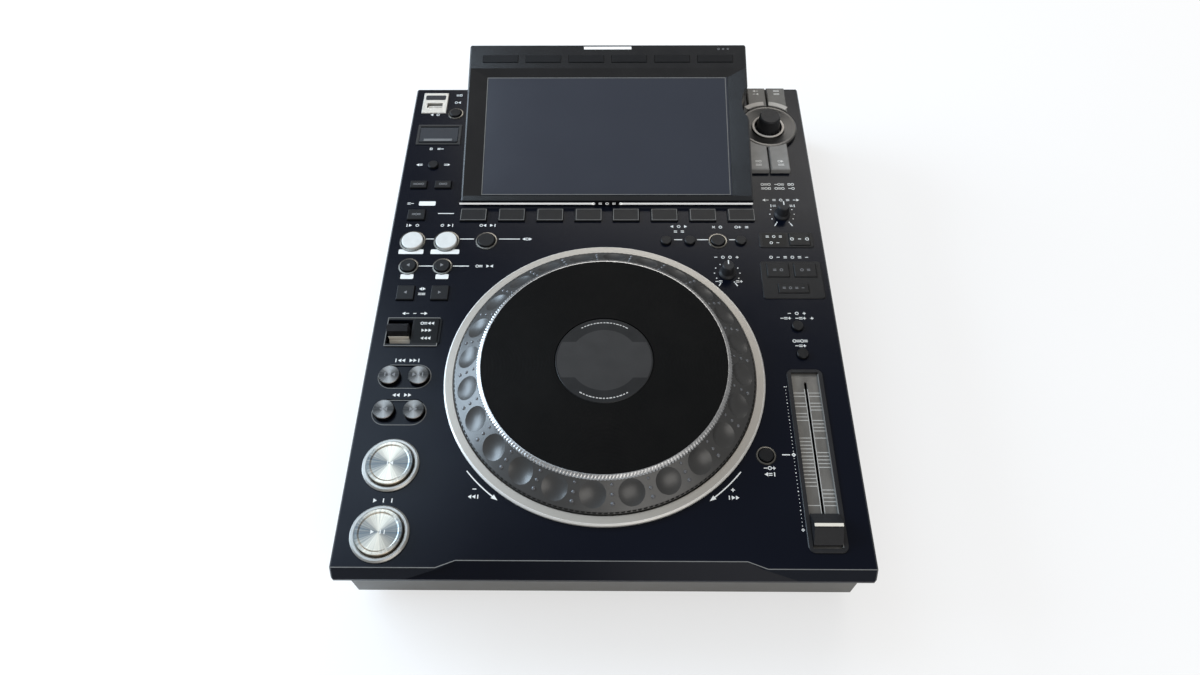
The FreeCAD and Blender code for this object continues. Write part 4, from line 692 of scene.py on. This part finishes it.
# Keys and buttons. Small black caps, clear pads for the loops and two large turned
# caps of brushed metal in polished rings.
dress(key_dark, "slip_key", "quantize_key", "time_key", "mode_key", "sync_key", "master_key",
      "tone_key", "beat_jump_back", "beat_jump_next", "hot_cues_left", "hot_cues_right",
      "call_back", "call_next", "memory_button", "tempo_range", "tempo_hold", "time_mode",
      "media_stop", "delete_button", "reloop", "tempo_reset", "beat_loop_half",
      "beat_loop_double")
key_white = patched("key_white", 0.004, (0.50, 0.50, 0.48, 1), (0.64, 0.64, 0.62, 1), 0.002, 0.1,
                    0.3, Specular_IOR_Level=0.5)
key_white.relief(key_white.noise(0.0004), 0.00002)
dress(key_white, "loop_in", "loop_out")

# A thin line about the top of each hot-cue key
HOT_START, HOT_GAP, HOT_WIDTH, HOT_DEPTH = 11.3, 7.6, 19.5, 11.2
for group in ("hot_cues_left", "hot_cues_right"):
    low, high = (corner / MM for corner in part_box(group))
    hot_edges = Ink(lambda x, y, z: Vector((x, y, high.z + z)) * MM)
    pitch = (high.x - low.x + HOT_GAP) / 4
    for step in range(4):
        hot_edges.hollow(low.x + HOT_START + pitch * step, (low.y + high.y) / 2, HOT_WIDTH,
                         HOT_DEPTH, 0.35)
    hot_edges.piece(group + "_edges", edge_grey, group, "key_dark")


def turned_metal(node, dark, light, rough):
    # Tool marks about the cap's own middle, over a painted reflection: a fan of paler and darker
    # sectors by bearing that stands for the fan highlights of turned metal
    x, y, _ = centre(node)
    metal = Finish(node + "_metal", Metallic=1.0, Anisotropic=0.85)
    away, out_x, out_y = metal.away_from(x, y)
    marks = metal.streaks(away, 5200)
    bearing = out_y.maths("ARCTAN2", out_y, out_x)
    uneven = metal.streaks(bearing, 9, 3)
    painted_fan_reflection = (bearing * 2).maths("COSINE") * -0.4 + 0.5 + (uneven - 0.5) * 0.9
    metal.give("Base Color", metal.blend(painted_fan_reflection.maths("MINIMUM", painted_fan_reflection, 1).maths("ABSOLUTE"),
                                         dark, light))
    metal.give("Roughness", marks * 0.1 + rough)
    metal.relief(marks, 0.00002)
    dress(metal, node)


# Each call gives the painted reflection's darker sectors first and its paler sectors second
for node in ("cue_button", "play_button"):
    turned_metal(node, (0.10, 0.12, 0.135, 1), (0.56, 0.50, 0.41, 1), 0.27)
for node in ("track_back", "track_next", "search_back", "search_next"):
    turned_metal(node, (0.03, 0.03, 0.03, 1), (0.2, 0.19, 0.18, 1), 0.3)
polished = patched("polished_ring", 0.01, (0.32, 0.31, 0.29, 1), (0.42, 0.41, 0.385, 1), 0.004,
                   0.1, 0.32, Metallic=0.8)
polished.relief(polished.noise(0.0008), 0.00001)
dress(polished, "button_rings")
frame_black = moulded("frame_black", (0.009, 0.009, 0.0096, 1), (0.014, 0.014, 0.015, 1), 0.36,
                      0.0004, 0.00003, 0.01)
dress(frame_black, "key_frames")


def top_ink(node, lift=0.0):
    low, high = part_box(node)
    middle = Vector(((low.x + high.x) / 2, (low.y + high.y) / 2, high.z)) / MM
    return Ink(lambda x, y, z: (middle + Vector((x, y, z + lift))) * MM)


for node, signs, high, ink, lift in (
        ("cue_button", "|<", 2.6, ink_white, -0.5), ("play_button", "> ||", 2.6, ink_white, -0.5),
        ("track_back", "|<<", 3, ink_grey, 0), ("track_next", ">>|", 3, ink_grey, 0),
        ("search_back", "<<", 3, ink_grey, 0), ("search_next", ">>", 3, ink_grey, 0),
        ("beat_jump_back", "<", 2.6, ink_grey, 0), ("beat_jump_next", ">", 2.6, ink_grey, 0),
        ("slip_key", "=o=", 2.4, ink_grey, 0), ("quantize_key", "=o=o", 2.3, ink_grey, 0),
        ("time_key", "o=o", 2.3, ink_grey, 0), ("mode_key", "o - o", 3, ink_white, 0),
        ("sync_key", "= o", 2.6, ink_grey, 0), ("master_key", "o =", 2.6, ink_grey, 0),
        ("tone_key", "= o = -", 2.4, ink_grey, 0), ("beat_loop_half", "<", 3, ink_grey, 0),
        ("beat_loop_double", ">", 3, ink_grey, 0)):
    marks = top_ink(node, lift)
    marks.row(0, 0, high, signs)
    marks.piece(node + "_sign", ink, node, "key_white")

# Bright collars about the round keys that have them
CAP_SKIRT, COLLAR_GAP = 1.2, 0.45
collar = Form(on_deck)
for node in ("reloop", "delete_button", "tempo_reset", "loop_in", "loop_out", "media_stop",
             "beat_loop_half", "beat_loop_double"):
    low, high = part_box(node)
    inner = (high.x - low.x) / 2 / MM - CAP_SKIRT + COLLAR_GAP
    x, y, _ = centre(node)
    collar.turn(x, y, [(inner, 0), (inner + 1.5, 0), (inner + 1.2, 0.7), (inner + 0.35, 0.8)],
                40)
collar_metal = moulded("collar_metal", (0.10, 0.095, 0.085, 1), (0.2, 0.19, 0.17, 1), 0.25,
                       0.0005, 0.00002, 0.004, Metallic=0.9)
collar.piece("key_collars", collar_metal, "deck", "socket_metal", True)

# Direction lever. A black paddle on a cross pin with a pale front plate, beside a
# printed window that shows its three places.
lever_black = moulded("lever_black", (0.010, 0.010, 0.011, 1), (0.02, 0.02, 0.022, 1), 0.3,
                      0.0004, 0.00003, 0.008)
dress(lever_black, "direction_lever")
LEVER_X, LEVER_HALF = centre("direction_lever")[0], 7.2
LEVER_PLATE = [(-57, 0.3), (-57.35, 0.3), (-57.35, -3.5), (-59.7, -5.5), (-59.4, -5.8),
               (-57, -3.8)]
lever_plate = Form(lambda y, z, x: Vector((LEVER_X + x, y, DECK + z)) * MM)
lever_plate.prism(LEVER_PLATE, -LEVER_HALF, LEVER_HALF)
lever_pale = moulded("lever_pale", (0.62, 0.57, 0.49, 1), (0.74, 0.69, 0.6, 1), 0.35,
                     0.0004, 0.00002, 0.004)
lever_plate.piece("lever_front_plate", lever_pale, "direction_lever", "key_white")
window_black = moulded("window_black", (0.002, 0.002, 0.0022, 1), (0.0035, 0.0035, 0.004, 1),
                       0.3, 0.0005, 0.00001)
frame_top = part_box("key_frames")[1].z / MM - DECK
windows = Ink(lambda x, y, z: on_deck(x, y, frame_top + z))
windows.tab(-125.6, -52.5, 19.6, 20.5)
windows.tab(127.6, 30.4, 18.4, 12.4)
edges = Ink(lambda x, y, z: on_deck(x, y, frame_top + z))
edges.hollow(-135.9, -53.3, 37.2, 24, 0.5)
edges.piece("lever_frame_edge", edge_grey, "deck", "key_dark")
windows.piece("label_windows", window_black, "deck", "screen_glass")
window_print = Ink(lambda x, y, z: on_deck(x, y, frame_top + INK + z))
for mark_x, mark_y, signs in ((-126, -46.2, "o=<<"), (-126, -52.2, ">>>"), (-126, -58.8, "<<<"),
                              (127.6, 33.4, "= o ="), (127.6, 27.4, "o -")):
    window_print.row(mark_x, mark_y, 2.6, signs)
window_print.piece("window_print", ink_white, "deck", "key_white")

# Tempo fader. A slotted grey scale plate in a black frame, with ruled lines in two
# columns; the cap is black with a bright ridge.
FADER_X = centre("fader_frame")[0]
CHANNEL_HALF, CHANNEL_SINK = 0.00925, 0.9
fader_skin = Finish("fader_skin", Specular_IOR_Level=0.2)
channel = (fader_skin.along("X") - FADER_X * MM).maths("ABSOLUTE") < CHANNEL_HALF
sunk = fader_skin.along("Z") < (DECK - CHANNEL_SINK) * MM
worn = fader_skin.noise(0.006, 3, (1, 0.3, 1))
fader_skin.give("Base Color", fader_skin.blend(
    channel * sunk, fader_skin.blend(worn, (0.012, 0.012, 0.013, 1), (0.02, 0.02, 0.022, 1)),
    fader_skin.blend(worn, (0.10, 0.095, 0.088, 1), (0.21, 0.20, 0.185, 1))))
fader_skin.give("Roughness", worn * 0.2 + 0.25)
fader_skin.give("Metallic", channel * sunk * 0.5)
fader_skin.relief(fader_skin.noise(0.0005), 0.00003)
dress(fader_skin, "fader_frame")
ruler_ink = moulded("ruler_ink", (0.34, 0.33, 0.31, 1), (0.46, 0.45, 0.43, 1), 0.4,
                    0.0004, 0.00002, 0.005)
ruler = Ink(lambda x, y, z: on_deck(FADER_X + x, y, z - 1))
LEFT_RULES = (0, 1, 3, 4, 6, 7, 8, *range(13, 27), 31, 36, 40)
RIGHT_RULES = (0, 1, 3, 4, 5, 8, 9, 10, 11, 13, 17, 18, 19, 20, 21, 27, 28, 29, 30, 31, 35,
               36, 38, 39, 40)
RULE_TOP, RULE_PITCH, RULE_IN, RULE_OUT = -101, 2.58, 1.4, 8.9
for column, rules in ((-1, LEFT_RULES), (1, RIGHT_RULES)):
    for step in rules:
        y = RULE_TOP - step * RULE_PITCH
        ruler.bar(column * RULE_IN, y, column * RULE_OUT, y, 0.6)
for slot_edge in (-1.05, 1.05):
    ruler.bar(slot_edge, -98, slot_edge, -207, 0.5)
ruler.piece("fader_ruler", ruler_ink, "deck", "key_white")
WALL_LEFT, WALL_RIGHT, WALL_FRONT, WALL_BACK = FADER_X + 8.9, FADER_X + 9.25, -208.5, -87
wall = Form(on_deck)
wall.prism([(WALL_LEFT, WALL_FRONT), (WALL_RIGHT, WALL_FRONT), (WALL_RIGHT, WALL_BACK),
            (WALL_LEFT, WALL_BACK)], -1, 1)
wall.piece("fader_bright_wall", edge_grey, "deck", "socket_metal")
cap_black = moulded("cap_black", (0.010, 0.010, 0.011, 1), (0.018, 0.018, 0.02, 1), 0.32,
                    0.0004, 0.00003, 0.006)
dress(cap_black, "fader_cap")
cap_y, cap_top = centre("fader_cap")[1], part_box("fader_cap")[1].z / MM
RIDGE_HALF = 8.7
ridge = Form(lambda x, y, z: Vector((FADER_X + x, cap_y + y, cap_top + z)) * MM)
ridge.prism([(-RIDGE_HALF, -1), (RIDGE_HALF, -1), (RIDGE_HALF, 1), (-RIDGE_HALF, 1)], -0.2, 0.35)
ridge.piece("fader_cap_ridge", lever_pale, "fader_cap", "socket_metal")
for node in ("vinyl_knob", "jog_adjust_knob"):
    pointer = top_ink(node)
    pointer.prism([(-0.4, 0.8), (0.4, 0.8), (0.4, 4.4), (-0.4, 4.4)], -0.9, 0.05)
    pointer.piece(node + "_pointer", ink_white, node, "key_white")

# Studio. A pale floor, white beyond it, and four broad soft lamps; the two at the left are
# bluish like a window.
floor_mesh = bpy.data.meshes.new("studio_floor")
FLOOR_HALF = 6.0
floor_mesh.from_pydata([(-FLOOR_HALF, -FLOOR_HALF, 0), (FLOOR_HALF, -FLOOR_HALF, 0),
                        (FLOOR_HALF, FLOOR_HALF, 0), (-FLOOR_HALF, FLOOR_HALF, 0)], [],
                       [(0, 1, 2, 3)])
floor = bpy.data.objects.new("studio_floor", floor_mesh)
bpy.context.scene.collection.objects.link(floor)
paper = Finish("studio_paper", Roughness=0.9, Specular_IOR_Level=0.1)
paper.give("Base Color", paper.blend(paper.noise(0.4), (0.86, 0.86, 0.86, 1),
                                     (0.9, 0.9, 0.9, 1)))
glow = paper.add("ShaderNodeEmission", inputs={"Color": (1, 1, 1, 1), "Strength": 1.0})
ray = paper.add("ShaderNodeLightPath", output="Is Camera Ray")
far = paper.away_from(0, 0)[0]
white = ray * far.maths("MINIMUM", far * 0.5 + 0.45, 1)
mixed = paper.add("ShaderNodeMixShader", inputs={
    0: white, 1: Wire(paper, paper.shader.outputs[0]), 2: glow})
paper.tree.links.new(mixed.socket, paper.tree.nodes["Material Output"].inputs["Surface"])
floor_mesh.materials.append(paper.material)

# The world looks white to the camera, and lights the deck more softly than it looks
world = bpy.data.worlds.new("studio_world")
bpy.context.scene.world = world
world.use_nodes = True
sky = world.node_tree
paths = sky.nodes.new("ShaderNodeLightPath")
behind = sky.nodes.new("ShaderNodeMath")
behind.operation = "MAXIMUM"
sky.links.new(paths.outputs["Is Camera Ray"], behind.inputs[0])
sky.links.new(paths.outputs["Is Transmission Ray"], behind.inputs[1])
level = sky.nodes.new("ShaderNodeMix")
level.inputs["A"].default_value = 0.4
level.inputs["B"].default_value = 1.0
sky.links.new(behind.outputs[0], level.inputs["Factor"])
sky.nodes["Background"].inputs["Color"].default_value = (1, 1, 1, 1)
sky.links.new(level.outputs["Result"], sky.nodes["Background"].inputs["Strength"])


def lamp(name, place, aim, size, power, shade):
    data = bpy.data.lights.new(name, "AREA")
    data.shape, data.size, data.size_y = "RECTANGLE", size[0], size[1]
    data.energy, data.color = power, shade
    made = bpy.data.objects.new(name, data)
    made.location = place
    made.rotation_euler = (Vector(aim) - Vector(place)).to_track_quat("-Z", "Y").to_euler()
    bpy.context.scene.collection.objects.link(made)


BLUISH = (0.66, 0.83, 1)
lamp("window_lamp", (-1.35, 0.3, 0.55), (0, -0.1, 0.05), (1.2, 0.8), 36, BLUISH)
lamp("sky_lamp", (-0.8, 0.65, 1.45), (0, 0, 0.05), (0.6, 0.9), 8, BLUISH)
lamp("back_lamp", (0.3, 1.35, 1.3), (0, 0, 0.05), (1.4, 0.4), 9, (1, 0.97, 0.92))
lamp("front_lamp", (0.7, -1.4, 1.2), (0, 0, 0.05), (1.6, 1.2), 13, (1, 0.98, 0.95))

# Camera, above and in front of the deck, turned and rolled a little as in the photograph
CAMERA_PLACE = Vector((5.9, -383.6, 579.7))
YAW, ROLL, PITCH = math.radians(1.11), math.radians(-0.82), math.radians(56.67)
turn = Matrix.Rotation(YAW, 3, "Z")
ahead = turn @ Vector((0, math.cos(PITCH), -math.sin(PITCH)))
right = turn @ Vector((1, 0, 0))
upright = right.cross(ahead)
rolled_right = math.cos(ROLL) * right + math.sin(ROLL) * upright
rolled_up = math.cos(ROLL) * upright - math.sin(ROLL) * right
camera_data = bpy.data.cameras.new("camera")
camera_data.sensor_width = 36
camera_data.lens = 25.695
camera_data.shift_x, camera_data.shift_y = -0.00333, -0.00625
camera_data.clip_start, camera_data.clip_end = 0.01, 50
camera = bpy.data.objects.new("camera", camera_data)
camera.matrix_world = Matrix.Translation(CAMERA_PLACE * MM) @ Matrix((
    rolled_right, rolled_up, -ahead)).transposed().to_4x4()
bpy.context.scene.collection.objects.link(camera)
bpy.context.scene.camera = camera
bpy.context.scene.view_settings.view_transform = "Standard"
